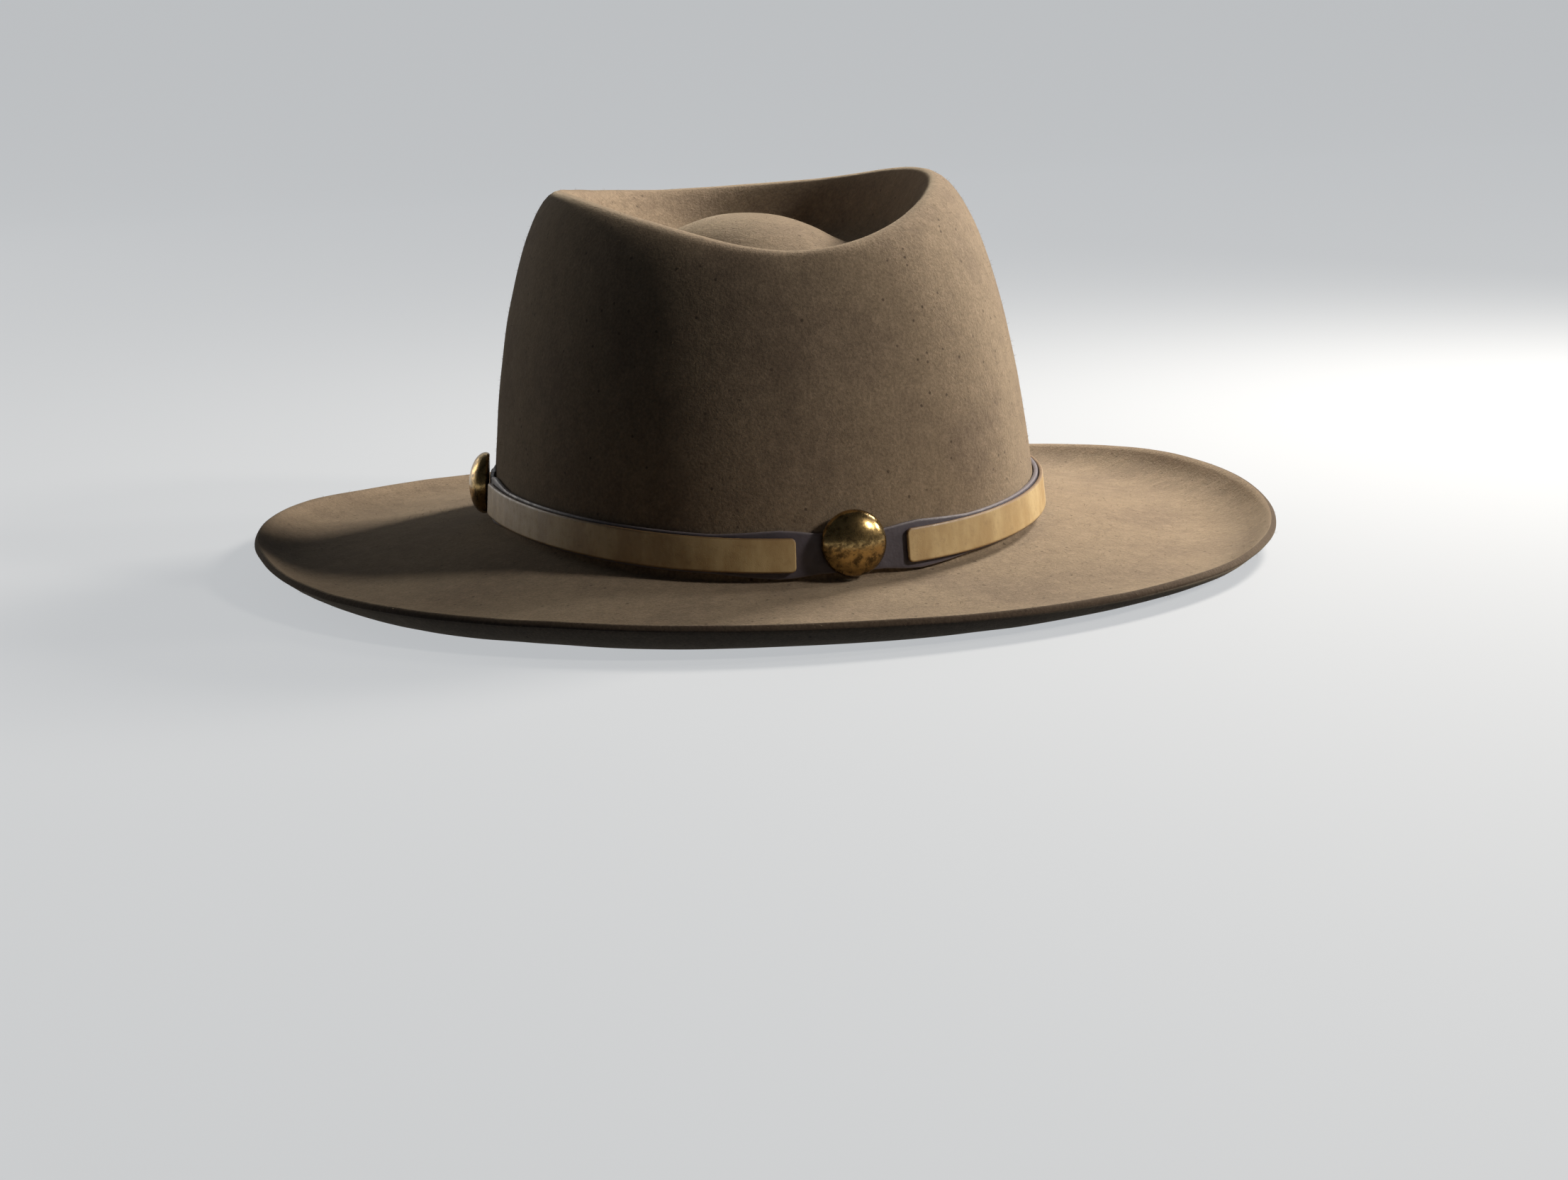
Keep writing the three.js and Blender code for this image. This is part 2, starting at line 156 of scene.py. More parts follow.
# %% The three ruling lines
def oval(angle, length, width, squareness, narrowing=0, setback=0):
    """Points of an egg-shaped oval in plan. The angle is 0 at the front."""
    s, c = np.sin(angle), np.cos(angle)
    power = 2 / squareness
    x = (width / 2) * np.sign(s) * np.abs(s) ** power * (1 - narrowing * c)
    y = setback - (length / 2) * np.sign(c) * np.abs(c) ** power
    return np.stack([x, y, np.zeros_like(x)], axis=-1)


def waves(table, angle):
    return sum(front * np.cos(turns * angle) + left * np.sin(turns * angle)
               for turns, front, left in table)


def foot_line(angle):
    points = oval(angle, **FOOT)
    points[..., 2] = FOOT_SIDE_RISE * np.sin(angle) ** 2
    return points


def rim_line(angle):
    points = oval(angle, **RIM)
    points[..., 2] = CROWN_HEIGHT + RIM_WAVE * waves(RIM_WAVES, angle)
    return points


def edge_line(angle):
    points = oval(angle, **EDGE)
    points[..., 2] = EDGE_HEIGHT + EDGE_WAVE * waves(EDGE_WAVES, angle)
    return points


print("front of the foot, rim and edge in mm:",
      [line(np.zeros(1))[0].round(1).tolist() for line in (foot_line, rim_line, edge_line)])

# %% [markdown]
# The crown's wall leans in and bulges a little on its way from foot to rim. Everything between
# the middle of the dent and the cut edge is then one radial section, worked out from the three
# lines and the tables of shares, for all angles at once.


# %% The crown's wall and the radial sections
def crown_wall(angle, share):
    """Points of the crown's side, at a share of its height."""
    foot, rim = foot_line(angle), rim_line(angle)
    share = np.broadcast_to(share, np.shape(angle))
    bulge = (1 - share ** CROWN_ROUNDNESS) ** (1 / CROWN_ROUNDNESS)
    spread = (1 - CROWN_LEAN) * bulge + CROWN_LEAN * (1 - share)
    points = rim + (foot - rim) * spread[..., None]
    points[..., 2] = foot[..., 2] + (rim[..., 2] - foot[..., 2]) * share
    return points


def felt_stations(angle):
    """The stations of every radial section, as an array of angles by stations by 3."""
    foot, rim, edge = foot_line(angle), rim_line(angle), edge_line(angle)
    floor = CROWN_HEIGHT - DENT_FLOOR
    sag = BRIM_DIP * (1 + waves(DIP_WAVES, angle))
    stations = []
    for out, dome, wall in DENT_STATIONS:
        point = rim * out + np.array([0, DOME_SETBACK, 0]) * (1 - out)
        point[:, 2] = floor + DOME_HEIGHT * dome + (rim[:, 2] - floor) * wall
        stations.append(point)
    stations += [crown_wall(angle, share) for share in CROWN_STATIONS]
    for out, lip, dip, settle in BRIM_STATIONS:
        point = foot + (edge - foot) * out
        point[:, 2] = foot[:, 2] * (1 - lip) + edge[:, 2] * lip - sag * dip - BREAK_DROP * settle
        stations.append(point)
    return np.stack(stations, axis=1)


print("wall at half height, front, in mm:", crown_wall(np.zeros(1), 0.5)[0].round(1).tolist())

# %% [markdown]
# A felt section is a smooth curve. Cubic pieces between the stations, with a slope at each
# station that is taken from its two neighbours and their distances, stay close to the chords and
# never overshoot where a long piece meets a short one.

# %% Smooth sections through the stations
COLUMNS = 360  # angles round the hat
RING_STEP = 2.4  # mean distance between two rings


def smooth_sections(stations):
    """Rings of points on cubic curves through the stations, and how far out each ring lies."""
    chord = np.linalg.norm(np.diff(stations, axis=1), axis=2)[..., None]
    slope = np.diff(stations, axis=1) / chord
    before, after = chord[:, :-1], chord[:, 1:]
    middle = (slope[:, :-1] * after + slope[:, 1:] * before) / (before + after)
    first = slope[:, :1] * np.array([1, 1, 0])
    tangent = np.concatenate([first, middle, slope[:, -1:]], axis=1)
    rings, places = [], []
    for i in range(stations.shape[1] - 1):
        parts = max(1, round(float(chord[:, i].mean()) / RING_STEP))
        for k in range(parts):
            t = k / parts
            a, b = stations[:, i], stations[:, i + 1]
            u, v = tangent[:, i] * chord[:, i], tangent[:, i + 1] * chord[:, i]
            rings.append((2 * t ** 3 - 3 * t ** 2 + 1) * a + (t ** 3 - 2 * t ** 2 + t) * u
                         + (3 * t ** 2 - 2 * t ** 3) * b + (t ** 3 - t ** 2) * v)
            places.append(i + t)
    rings.append(stations[:, -1])
    places.append(stations.shape[1] - 1)
    return np.stack(rings), np.array(places)


def skin_normals(rings):
    """Upward normals of a grid of rings: across the rings, then round them."""
    out = np.empty_like(rings)
    out[1:-1] = rings[2:] - rings[:-2]
    out[0] = rings[1] - rings[0]
    out[-1] = rings[-1] - rings[-2]
    round_it = np.roll(rings, -1, axis=1) - np.roll(rings, 1, axis=1)
    normals = np.cross(out, round_it)
    normals[0] = (0, 0, 1)
    return normals / np.linalg.norm(normals, axis=2)[..., None]


angles = np.arange(COLUMNS) * 2 * math.pi / COLUMNS
upper, ring_places = smooth_sections(felt_stations(angles))
upper_normals = skin_normals(upper)
lower = upper - FELT_WALL * upper_normals
ground = lower[..., 2].min() + PRESSED
print("rings:", len(upper), " lowest felt below the foot, mm:", round(-float(ground), 2))

# %% [markdown]
# Felt that a hand has shaped is never quite even. Soft low bumps, a few centimetres across and a
# fraction of a millimetre high, break up the light. They fade out under the band, which lies
# close on the wall.

# %% Hand-shaped unevenness
BUMP_SIZE = 42
BUMP_HEIGHT = 0.55
RIPPLE_SIZE = 15
RIPPLE_HEIGHT = 0.16
BAND_ZONE = 20  # height above the foot that stays true
BRIM_ZONE = 6
FADE = 14

dent_last = len(DENT_STATIONS) - 1
foot_place = len(DENT_STATIONS) + len(CROWN_STATIONS) - 1
edge_place = ring_places[-1]
above_foot = upper[..., 2] - foot_line(angles)[None, :, 2]
from_foot = np.linalg.norm((upper - foot_line(angles)[None])[..., :2], axis=2)
on_brim = (ring_places >= foot_place)[:, None]
room = np.where(on_brim, from_foot - BRIM_ZONE, above_foot - BAND_ZONE)
freedom = np.clip(room / FADE, 0, 1)
freedom[ring_places < dent_last] = 1


def unevenness(point):
    bumps = noise.noise(Vector(point) / BUMP_SIZE) * BUMP_HEIGHT
    return bumps + noise.noise(Vector(point) / RIPPLE_SIZE) * RIPPLE_HEIGHT


lift = np.array([unevenness(point) for point in upper.reshape(-1, 3)]).reshape(upper.shape[:2])
lift *= freedom
lift[0] = lift[0].mean()
upper += upper_normals * lift[..., None]
lower += upper_normals * lift[..., None]
lower[..., 2] = np.maximum(lower[..., 2], ground)
outline = np.concatenate([upper.reshape(-1, 3), lower.reshape(-1, 3)])
middle = (outline.max(axis=0) + outline.min(axis=0)) / 2
felt_box = np.array(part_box("felt_body")) / MM
packed_middle = felt_box.mean(axis=0)
FOOT_ORIGIN = np.array([packed_middle[0] - middle[0], packed_middle[1] - middle[1], -ground])
print("foot of the crown in the hat's own frame, mm:", FOOT_ORIGIN.round(2))
place_camera(FOOT_ORIGIN + np.array([0, 0, BAND_RISE]))

# %% [markdown]
# ## Colours and nodes
# The colours are written as they look on a screen and turned to linear light by one function.
# Patterns are sized in real millimetres. One function adds any node, sets it up and links it. An
# input can be given a whole node, and then its first active output is linked. Math nodes take
# their values in inputs 0, 1 and 2, and a colour Mix node its two colours in inputs 6 and 7.

# %% Helpers for materials and node trees
SMOOTH = dict(interpolation_type="SMOOTHSTEP")
COLOURS = dict(data_type="RGBA")


def colour(code):
    """Linear colour of an sRGB hex value."""
    parts = [int(code[i:i + 2], 16) / 255 for i in (1, 3, 5)]
    linear = [c / 12.92 if c <= 0.04045 else ((c + 0.055) / 1.055) ** 2.4 for c in parts]
    return (*linear, 1)


def per(size):
    """Texture scale that makes a pattern's features about this many millimetres across."""
    return 1 / (size * MM)


def add(tree, kind, inputs=(), **settings):
    """Adds a node with its settings. An input takes a value, or a node or socket to link from."""
    node = tree.nodes.new(kind)
    for name, value in settings.items():
        setattr(node, name, value)
    for socket, value in dict(inputs).items():
        if isinstance(value, bpy.types.Node):
            value = next(output for output in value.outputs if output.enabled)
        if isinstance(value, bpy.types.NodeSocket):
            tree.links.new(value, node.inputs[socket])
        else:
            node.inputs[socket].default_value = value
    return node


def new_material(name):
    """An empty material and its node tree."""
    material = bpy.data.materials.new(name)
    material.use_nodes = True
    material.node_tree.nodes.clear()
    return material, material.node_tree


print("mid grey in linear light:", round(colour("#808080")[0], 3))

# %% [markdown]
# ## Brown fur felt
# The real stuff is rabbit fur felt, dyed brown in the wool, sanded and brushed. It looks dead
# matt, with cloudy patches where the dye took unevenly, a close mottle of matted fibres, a few
# dark specks, and a faint pale bloom where the nap catches light from the side. Sheen gives the
# bloom. The crest of the crown and the lip are painted lighter: partly wear from hands, partly a
# painted highlight where these edges catch the light. The cut face has a painted shade, much
# darker.

# %% Material: brown fur felt
FELT_DYE = "#82725f"
FELT_DARK = "#6f6052"
FELT_PALE = "#95836f"
FELT_SPECK = "#3f342d"
# painted shade on the brim's cut face, much darker than the felt
FELT_CUT_SHADE = "#3d3129"
FELT_BLOOM = "#e2d2b6"
CLOUD_SIZE = 34  # patches where the dye took unevenly, mm
MOTTLE_SIZE = 4.5  # clumps of matted fibres, mm
SPECK_SPACING = 3.2  # between the cells that may hold a dark speck, mm
FIBRE_SPACING = 0.9  # real fibres are about 0.3 mm apart, and are drawn coarser, to show at all


def fur_felt(name, cut=0.0):
    material, tree = new_material(name)
    place = add(tree, "ShaderNodeTexCoord").outputs["Object"]
    clouds = add(tree, "ShaderNodeTexNoise",
                 {"Vector": place, "Scale": per(CLOUD_SIZE), "Detail": 3})
    mottle = add(tree, "ShaderNodeTexNoise",
                 {"Vector": place, "Scale": per(MOTTLE_SIZE), "Detail": 5, "Roughness": 0.62})
    even = add(tree, "ShaderNodeMapRange",
               {"Value": clouds, "From Min": 0.34, "From Max": 0.62, "To Min": 0.35}, **SMOOTH)
    dye = add(tree, "ShaderNodeMix",
              {0: even, 6: colour(FELT_DARK), 7: colour(FELT_DYE)}, **COLOURS)
    pale = add(tree, "ShaderNodeMapRange",
               {"Value": mottle, "From Min": 0.45, "From Max": 0.7, "To Max": 0.4}, **SMOOTH)
    dye = add(tree, "ShaderNodeMix", {0: pale, 6: dye, 7: colour(FELT_PALE)}, **COLOURS)
    deep = add(tree, "ShaderNodeMapRange",
               {"Value": mottle, "From Min": 0.46, "From Max": 0.3, "To Max": 0.5}, **SMOOTH)
    dye = add(tree, "ShaderNodeMix", {0: deep, 6: dye, 7: colour(FELT_DARK)}, **COLOURS)
    cells = add(tree, "ShaderNodeTexVoronoi", {"Vector": place, "Scale": per(SPECK_SPACING)})
    near = add(tree, "ShaderNodeMapRange",
               {"Value": cells, "From Min": 0.2, "From Max": 0.1, "To Max": 0.7}, **SMOOTH)
    lot = add(tree, "ShaderNodeSeparateColor", {0: cells.outputs["Color"]})
    chosen = add(tree, "ShaderNodeMath", {0: lot, 1: 0.76}, operation="GREATER_THAN")
    speck = add(tree, "ShaderNodeMath", {0: near, 1: chosen}, operation="MULTIPLY")
    dye = add(tree, "ShaderNodeMix", {0: speck, 6: dye, 7: colour(FELT_SPECK)}, **COLOURS)
    # Crest and lip painted paler: wear from hands, and a painted highlight where the edges catch
    # light
    paler_share = add(tree, "ShaderNodeAttribute", attribute_name="wear_and_painted_highlight").outputs["Fac"]
    paler_share = add(tree, "ShaderNodeMath", {0: paler_share, 1: 0.5}, operation="MULTIPLY")
    dye = add(tree, "ShaderNodeMix", {0: paler_share, 6: dye, 7: colour(FELT_PALE)}, **COLOURS)
    # Painted shade on the cut face: the felt is mixed toward a dark brown by the cut share
    dye = add(tree, "ShaderNodeMix", {0: cut, 6: dye, 7: colour(FELT_CUT_SHADE)}, **COLOURS)
    fibres = add(tree, "ShaderNodeTexNoise",
                 {"Vector": place, "Scale": per(FIBRE_SPACING), "Detail": 4, "Roughness": 0.7})
    grain = add(tree, "ShaderNodeMapRange", {
        "Value": fibres, "From Min": 0.3, "From Max": 0.7, "To Min": 0.8, "To Max": 1.17}, **SMOOTH)
    dye = add(tree, "ShaderNodeVectorMath", {0: dye, 1: grain}, operation="MULTIPLY")
    nap = add(tree, "ShaderNodeBump", {"Strength": 0.55, "Distance": 0.35 * MM, "Height": fibres})
    felted = add(tree, "ShaderNodeBump", {
        "Strength": 0.32, "Distance": 0.6 * MM, "Height": mottle, "Normal": nap})
    shader = add(tree, "ShaderNodeBsdfPrincipled", {
        "Base Color": dye, "Normal": felted, "Roughness": 0.96, "Specular IOR Level": 0.12,
        "Sheen Weight": 0.3, "Sheen Roughness": 0.4, "Sheen Tint": colour(FELT_BLOOM)})
    add(tree, "ShaderNodeOutputMaterial", {"Surface": shader})
    return material


felt_finish = fur_felt("brown_fur_felt")
# The felt of the cut face, with painted shade
shaded_cut_felt_finish = fur_felt("shaded_cut_edge_of_fur_felt", cut=0.8)
print("felt materials:", felt_finish.name, shaded_cut_felt_finish.name)

# %% [markdown]
# ## The felt as a mesh
# Upper and lower skin share their columns, so they close at the cut edge. The edge is sheared, not
# rolled: a narrow face across the wall with its two corners just broken. Simple quads in rings are
# enough, and they keep the edge crisp.

# %% Points and faces of crown and brim
EDGE_BULGE = 0.4
EDGE_RINGS = (0.06, 0.2, 0.4, 0.6, 0.8, 0.94)  # shares of the way across the cut edge

outward = upper[-1] - upper[-2]
outward /= np.linalg.norm(outward, axis=1)[:, None]
cut_rows = []
for share in EDGE_RINGS:
    bulge = EDGE_BULGE * (1 - abs(2 * share - 1) ** 4)
    cut_rows.append(upper[-1] * (1 - share) + lower[-1] * share + outward * bulge)
rows = [*upper[1:], *cut_rows, *lower[:0:-1]]
felt_points = np.concatenate([upper[0][:1], np.concatenate(rows), lower[0][:1]])
felt_faces = []
for j in range(COLUMNS):
    k = (j + 1) % COLUMNS
    felt_faces.append((0, 1 + j, 1 + k))
    for i in range(len(rows) - 1):
        a, b = 1 + i * COLUMNS, 1 + (i + 1) * COLUMNS
        felt_faces.append((a + j, b + j, b + k, a + k))
    a = 1 + (len(rows) - 1) * COLUMNS
    felt_faces.append((a + j, len(felt_points) - 1, a + k))
print("felt:", len(felt_points), "points,", len(felt_faces), "faces")

# %% [markdown]
# Two values are stored at every point. One says how much paler the felt is painted, most on the
# crest and the lip: partly wear from hands, partly a painted highlight. The other says where
# loose fibres stand: everywhere outside but under the band, and not where the brim lies on the
# floor.

# %% Places painted paler for wear and highlight, and loose places
CREST_WIDTH = 1.4  # in stations, to each side of the crest
LIP_WIDTH = 1.2  # in stations, from the cut edge
FUZZY_UNDER = 1.5  # in stations: how far fibres stand on the underside
FUZZ_UNDER = 0.8
FIBRE_CLEARANCE = 2.6  # height above the floor in mm, where fibres start


def smooth_step(value):
    value = np.clip(value, 0, 1)
    return value * value * (3 - 2 * value)


# Crest and lip are painted paler: partly wear, partly a painted highlight
crest = 1 - smooth_step(np.abs(ring_places - dent_last) / CREST_WIDTH)
lip = smooth_step((ring_places - edge_place + LIP_WIDTH) / LIP_WIDTH)
wear_and_painted_highlight = np.repeat(np.maximum(crest, lip)[1:], COLUMNS)
loose = np.ones_like(upper[..., 0])
loose[(ring_places >= dent_last)[:, None] & ~on_brim & (above_foot < BAND_ZONE)] = 0
loose[on_brim[:, 0] & (ring_places < foot_place + 1)] = 0
loose = loose[1:].reshape(-1)
on_cut = np.ones(len(EDGE_RINGS) * COLUMNS)
under = np.repeat(((ring_places > edge_place - FUZZY_UNDER) * FUZZ_UNDER)[:0:-1], COLUMNS)
wear_and_painted_highlight = np.concatenate([[0], wear_and_painted_highlight, 0 * on_cut, 0 * under, [0]])
loose = np.concatenate([[1], loose, on_cut, under, [0]])
loose *= felt_points[:, 2] > ground + FIBRE_CLEARANCE
print("share of points with loose fibres:", round(float((loose > 0).mean()), 2))

# %% Crown and brim as one object
felt_mesh = bpy.data.meshes.new("felt_crown_and_brim")
felt_mesh.from_pydata(((felt_points + FOOT_ORIGIN) * MM).tolist(), [], felt_faces)
for name, values in (("wear_and_painted_highlight", wear_and_painted_highlight), ("loose", loose)):
    layer = felt_mesh.attributes.new(name, "FLOAT", "POINT")
    layer.data.foreach_set("value", values.astype(np.float32))
felt_mesh.materials.append(felt_finish)
felt_mesh.materials.append(shaded_cut_felt_finish)
first_cut = len(upper) - 2
faces_in_column = len(rows) + 1
# The faces across the cut edge take the felt with painted shade
for j in range(COLUMNS):
    for i in range(first_cut, first_cut + len(EDGE_RINGS) + 1):
        felt_mesh.polygons[j * faces_in_column + 1 + i].material_index = 1
felt_mesh.shade_smooth()
felt = bpy.data.objects.new("felt_crown_and_brim", felt_mesh)
scene.collection.objects.link(felt)
print("felt needed repair:", felt_mesh.validate())

# %% [markdown]
# ## Node trees that lay pieces on a path
# Strap, strips, studs and loose fibres repeat or follow the wall, so Geometry Nodes make them.
# A tree gets its sizes through named inputs. The result is taken off as a plain mesh, and the
# modifier goes, so that the finished piece is nothing but its faces.

# %% Helpers for the trees
SHARP_ANGLE = math.radians(50)
MERGE_DISTANCE = 0.001 * MM


def new_tree(name, inputs):
    """A geometry tree with named inputs, each a socket kind. Returns tree, input and output."""
    tree = bpy.data.node_groups.new(name, "GeometryNodeTree")
    face = tree.interface
    face.new_socket("Geometry", in_out="INPUT", socket_type="NodeSocketGeometry")
    for label, kind in inputs.items():
        face.new_socket(label, in_out="INPUT", socket_type="NodeSocket" + kind)
    face.new_socket("Geometry", in_out="OUTPUT", socket_type="NodeSocketGeometry")
    return tree, tree.nodes.new("NodeGroupInput").outputs, tree.nodes.new("NodeGroupOutput")


def close_tree(tree, geometry, material, end):
    """Every tree ends in Realize Instances and Set Material."""
    real = add(tree, "GeometryNodeRealizeInstances", {"Geometry": geometry})
    done = add(tree, "GeometryNodeSetMaterial", {"Geometry": real, "Material": material})
    tree.links.new(done.outputs[0], end.inputs[0])
    print("tree", tree.name + ":", len(tree.nodes), "nodes")


def run_tree(name, mesh, tree, sizes, turn_out=True):
    """Runs a tree on a mesh and returns an object with the plain result."""
    piece = bpy.data.objects.new(name, mesh)
    scene.collection.objects.link(piece)
    modifier = piece.modifiers.new("tree", "NODES")
    modifier.node_group = tree
    for item in tree.interface.items_tree:
        if item.in_out == "INPUT" and item.name in sizes:
            modifier[item.identifier] = sizes[item.name]
    depsgraph = bpy.context.evaluated_depsgraph_get()
    result = bpy.data.meshes.new_from_object(piece.evaluated_get(depsgraph), depsgraph=depsgraph)
    piece.modifiers.remove(modifier)
    result.name = name
    piece.data = result
    if turn_out:
        work = bmesh.new()
        work.from_mesh(result)
        bmesh.ops.remove_doubles(work, verts=work.verts, dist=MERGE_DISTANCE)
        bmesh.ops.recalc_face_normals(work, faces=work.faces)
        work.to_mesh(result)
        work.free()
    result.shade_smooth()
    result.set_sharp_from_angle(angle=SHARP_ANGLE)
    print(name + ":", len(result.vertices), "points,", len(result.polygons), "faces")
    return piece


# %% [markdown]
# ## The line of the band
# The band follows the crown's wall a little above its foot. A table of the distance along that
# line for each angle lets a piece start and end at a distance in millimetres.

# %% Sizes of the band, in millimetres
GAP = 0.3
STRAP_WIDTH = 12.2
STRAP_THICKNESS = 1.4
FOOT_CLEARANCE = 0.4
STRIP_WIDTH = 10.2
STRIP_THICKNESS = 1.2
STRIP_CORNER = 1.5
STUD_OPENING = 34
STUD_SPACING = 178
STUD_DIAMETER = 19.8
STUD_HEIGHT = 6.4
STUD_RIM = 1.1
POST_DIAMETER = 3.4
# Width of the strap: distance from a stud as a share of half the bare stretch, share of its width
STRAP_SECTIONS = ((0, 0.95), (0.6, 0.98), (1, 1.13), (1.3, 1.18), (1.8, 1.08), (2.4, 0.95))
band_rise = FOOT_CLEARANCE + STRAP_WIDTH * max(width for _, width in STRAP_SECTIONS) / 2
stud_rise = FOOT_CLEARANCE + STUD_DIAMETER / 2
print("above the foot, mm: middle of band", round(band_rise, 2), "studs", round(stud_rise, 2))

# %% The band's line on the wall
LINE_STEPS = 1440
SMALL_TURN = 0.01  # radians, for a direction along the wall


def on_wall(angle, rise):
    """Points of the wall at a height above the foot, and directions along, up and out."""
    def at(turn, height):
        climb = rim_line(turn)[..., 2] - foot_line(turn)[..., 2]
        return crown_wall(turn, height / climb)

    def unit(vector):
        return vector / np.linalg.norm(vector, axis=-1)[..., None]

    points = at(angle, rise)
    along = unit(at(angle + SMALL_TURN, rise) - at(angle - SMALL_TURN, rise))
    up = unit(at(angle, rise + 1) - points)
    out = unit(np.cross(along, up))
    return points, along, up, out


line_angles = np.arange(LINE_STEPS + 1) * 2 * math.pi / LINE_STEPS
line_points, _, _, line_out = on_wall(line_angles, band_rise)
line_points = line_points + (GAP + STRAP_THICKNESS) * line_out
steps = np.linalg.norm(np.diff(line_points, axis=0), axis=1)
line_distance = np.concatenate([[0], np.cumsum(steps)])
strap_length = line_distance[-1]
stud_places = {"front": 0, "left": STUD_SPACING, "right": strap_length - STUD_SPACING}


def angle_at(distance):
    return np.interp(np.mod(distance, strap_length), line_distance, line_angles)


print("strap length in mm:", round(float(strap_length), 1))

# %% [markdown]
# ## A tree for flat leather along the wall
# The path is a chain of points. Each point carries its directions up and out, half the width of
# the leather there and its distance along the band. The tree sweeps a rounded rectangle along
# the chain and then puts every point of it in place from those values, so the leather leans with
# the wall, and its corners stay crisp. It also stores where on the leather each point lies, so a
# grain can follow the strip, and how far from the cut edge it is.

# %% Tree: leather on the wall
strip_tree, given, strip_end = new_tree("leather_on_the_wall", {
    "Width": "Float", "Thickness": "Float", "Edge radius": "Float", "Spacing": "Float",
    "Material": "Material",
})
path = add(strip_tree, "GeometryNodeMeshToCurve", {"Mesh": given["Geometry"]})
bar = add(strip_tree, "GeometryNodeCurvePrimitiveQuadrilateral",
          {"Width": given["Thickness"], "Height": given["Width"]})
bar = add(strip_tree, "GeometryNodeFilletCurve",
          {"Curve": bar, "Count": 5, "Radius": given["Edge radius"]}, mode="POLY")
bar = add(strip_tree, "GeometryNodeResampleCurve",
          {"Curve": bar, "Length": given["Spacing"]}, mode="LENGTH")
here = add(strip_tree, "GeometryNodeInputPosition")
bar = add(strip_tree, "GeometryNodeStoreNamedAttribute",
          {"Geometry": bar, "Name": "profile", "Value": here},
          data_type="FLOAT_VECTOR", domain="POINT")
swept = add(strip_tree, "GeometryNodeCurveToMesh",
            {"Curve": path, "Profile Curve": bar, "Fill Caps": True})

# What the points carry along the sweep: profile comes from the bar, all the rest from the path
CARRIED = {
    "profile": "FLOAT_VECTOR", "middle": "FLOAT_VECTOR", "up": "FLOAT_VECTOR",
    "out": "FLOAT_VECTOR", "half": "FLOAT", "body": "FLOAT", "along": "FLOAT",
}
carried = {name: add(strip_tree, "GeometryNodeInputNamedAttribute", {"Name": name}, data_type=kind)
           for name, kind in CARRIED.items()}
print("values carried along the sweep:", len(carried))

# %% [markdown]
# The swept tube only gives the faces. Math nodes now work out where every point of it belongs:
# how far across the leather, how deep in it, and from those its place beside the path.

# %% Put the leather's points in place
profile = add(strip_tree, "ShaderNodeSeparateXYZ", {0: carried["profile"]}).outputs
half_width = add(strip_tree, "ShaderNodeMath", {0: given["Width"], 1: 2}, operation="DIVIDE")
widen = add(strip_tree, "ShaderNodeMath", {0: carried["half"], 1: half_width}, operation="DIVIDE")
across = add(strip_tree, "ShaderNodeMath", {0: profile[1], 1: widen}, operation="MULTIPLY")
thin = add(strip_tree, "ShaderNodeMath", {0: profile[0], 1: carried["body"]}, operation="MULTIPLY")
half_body = add(strip_tree, "ShaderNodeMath", {0: given["Thickness"], 1: 2}, operation="DIVIDE")
depth = add(strip_tree, "ShaderNodeMath", {0: thin, 1: half_body}, operation="ADD")
sideways = add(strip_tree, "ShaderNodeVectorMath",
               {0: carried["up"], "Scale": across}, operation="SCALE")
outwards = add(strip_tree, "ShaderNodeVectorMath",
               {0: carried["out"], "Scale": depth}, operation="SCALE")
beside = add(strip_tree, "ShaderNodeVectorMath", {0: sideways, 1: outwards}, operation="ADD")
spot = add(strip_tree, "ShaderNodeVectorMath", {0: carried["middle"], 1: beside}, operation="ADD")
off_middle = add(strip_tree, "ShaderNodeMath", {0: across}, operation="ABSOLUTE")
from_edge = add(strip_tree, "ShaderNodeMath",
                {0: carried["half"], 1: off_middle}, operation="SUBTRACT")
lay = add(strip_tree, "ShaderNodeCombineXYZ", {0: carried["along"], 1: across, 2: depth})
marked = add(strip_tree, "GeometryNodeStoreNamedAttribute",
             {"Geometry": swept, "Name": "lay", "Value": lay},
             data_type="FLOAT_VECTOR", domain="POINT")
marked = add(strip_tree, "GeometryNodeStoreNamedAttribute",
             {"Geometry": marked, "Name": "from_edge", "Value": from_edge},
             data_type="FLOAT", domain="POINT")
laid = add(strip_tree, "GeometryNodeSetPosition", {"Geometry": marked, "Position": spot})
close_tree(strip_tree, laid, given["Material"], strip_end)

# %% [markdown]
# The tree runs on a chain of points along the band. Each point is given its directions, the
# leather's width and body there, and its distance along the band.

# %% The path that the tree needs
def leather_path(name, distances, half_widths, body, away, closed):
    """A chain of points at distances along the band, away mm off the wall."""
    points, _, up, out = on_wall(angle_at(distances), band_rise)
    points = (points + away * out + FOOT_ORIGIN) * MM
    count = len(points)
    links = [(i, (i + 1) % count) for i in range(count if closed else count - 1)]
    mesh = bpy.data.meshes.new(name + "_path")
    mesh.from_pydata(points.tolist(), links, [])
    for label, values in (("middle", points), ("up", up), ("out", out)):
        layer = mesh.attributes.new(label, "FLOAT_VECTOR", "POINT")
        layer.data.foreach_set("vector", values.astype(np.float32).ravel())
    for label, values in (("half", half_widths * MM), ("body", body), ("along", distances * MM)):
        layer = mesh.attributes.new(label, "FLOAT", "POINT")
        layer.data.foreach_set("value", values.astype(np.float32))
    return mesh


print("out of the wall at the front:", on_wall(np.zeros(1), band_rise)[3][0].round(3).tolist())

# %% [markdown]
# ## Strap leather
# The strap is chrome-tanned leather, dyed a near-black with a trace of purple. It is satin, with
# a fine pebble grain, and its cut edge is a little paler. Cells make the pebbles, and a wider
# noise the creases, which also break up the gloss.

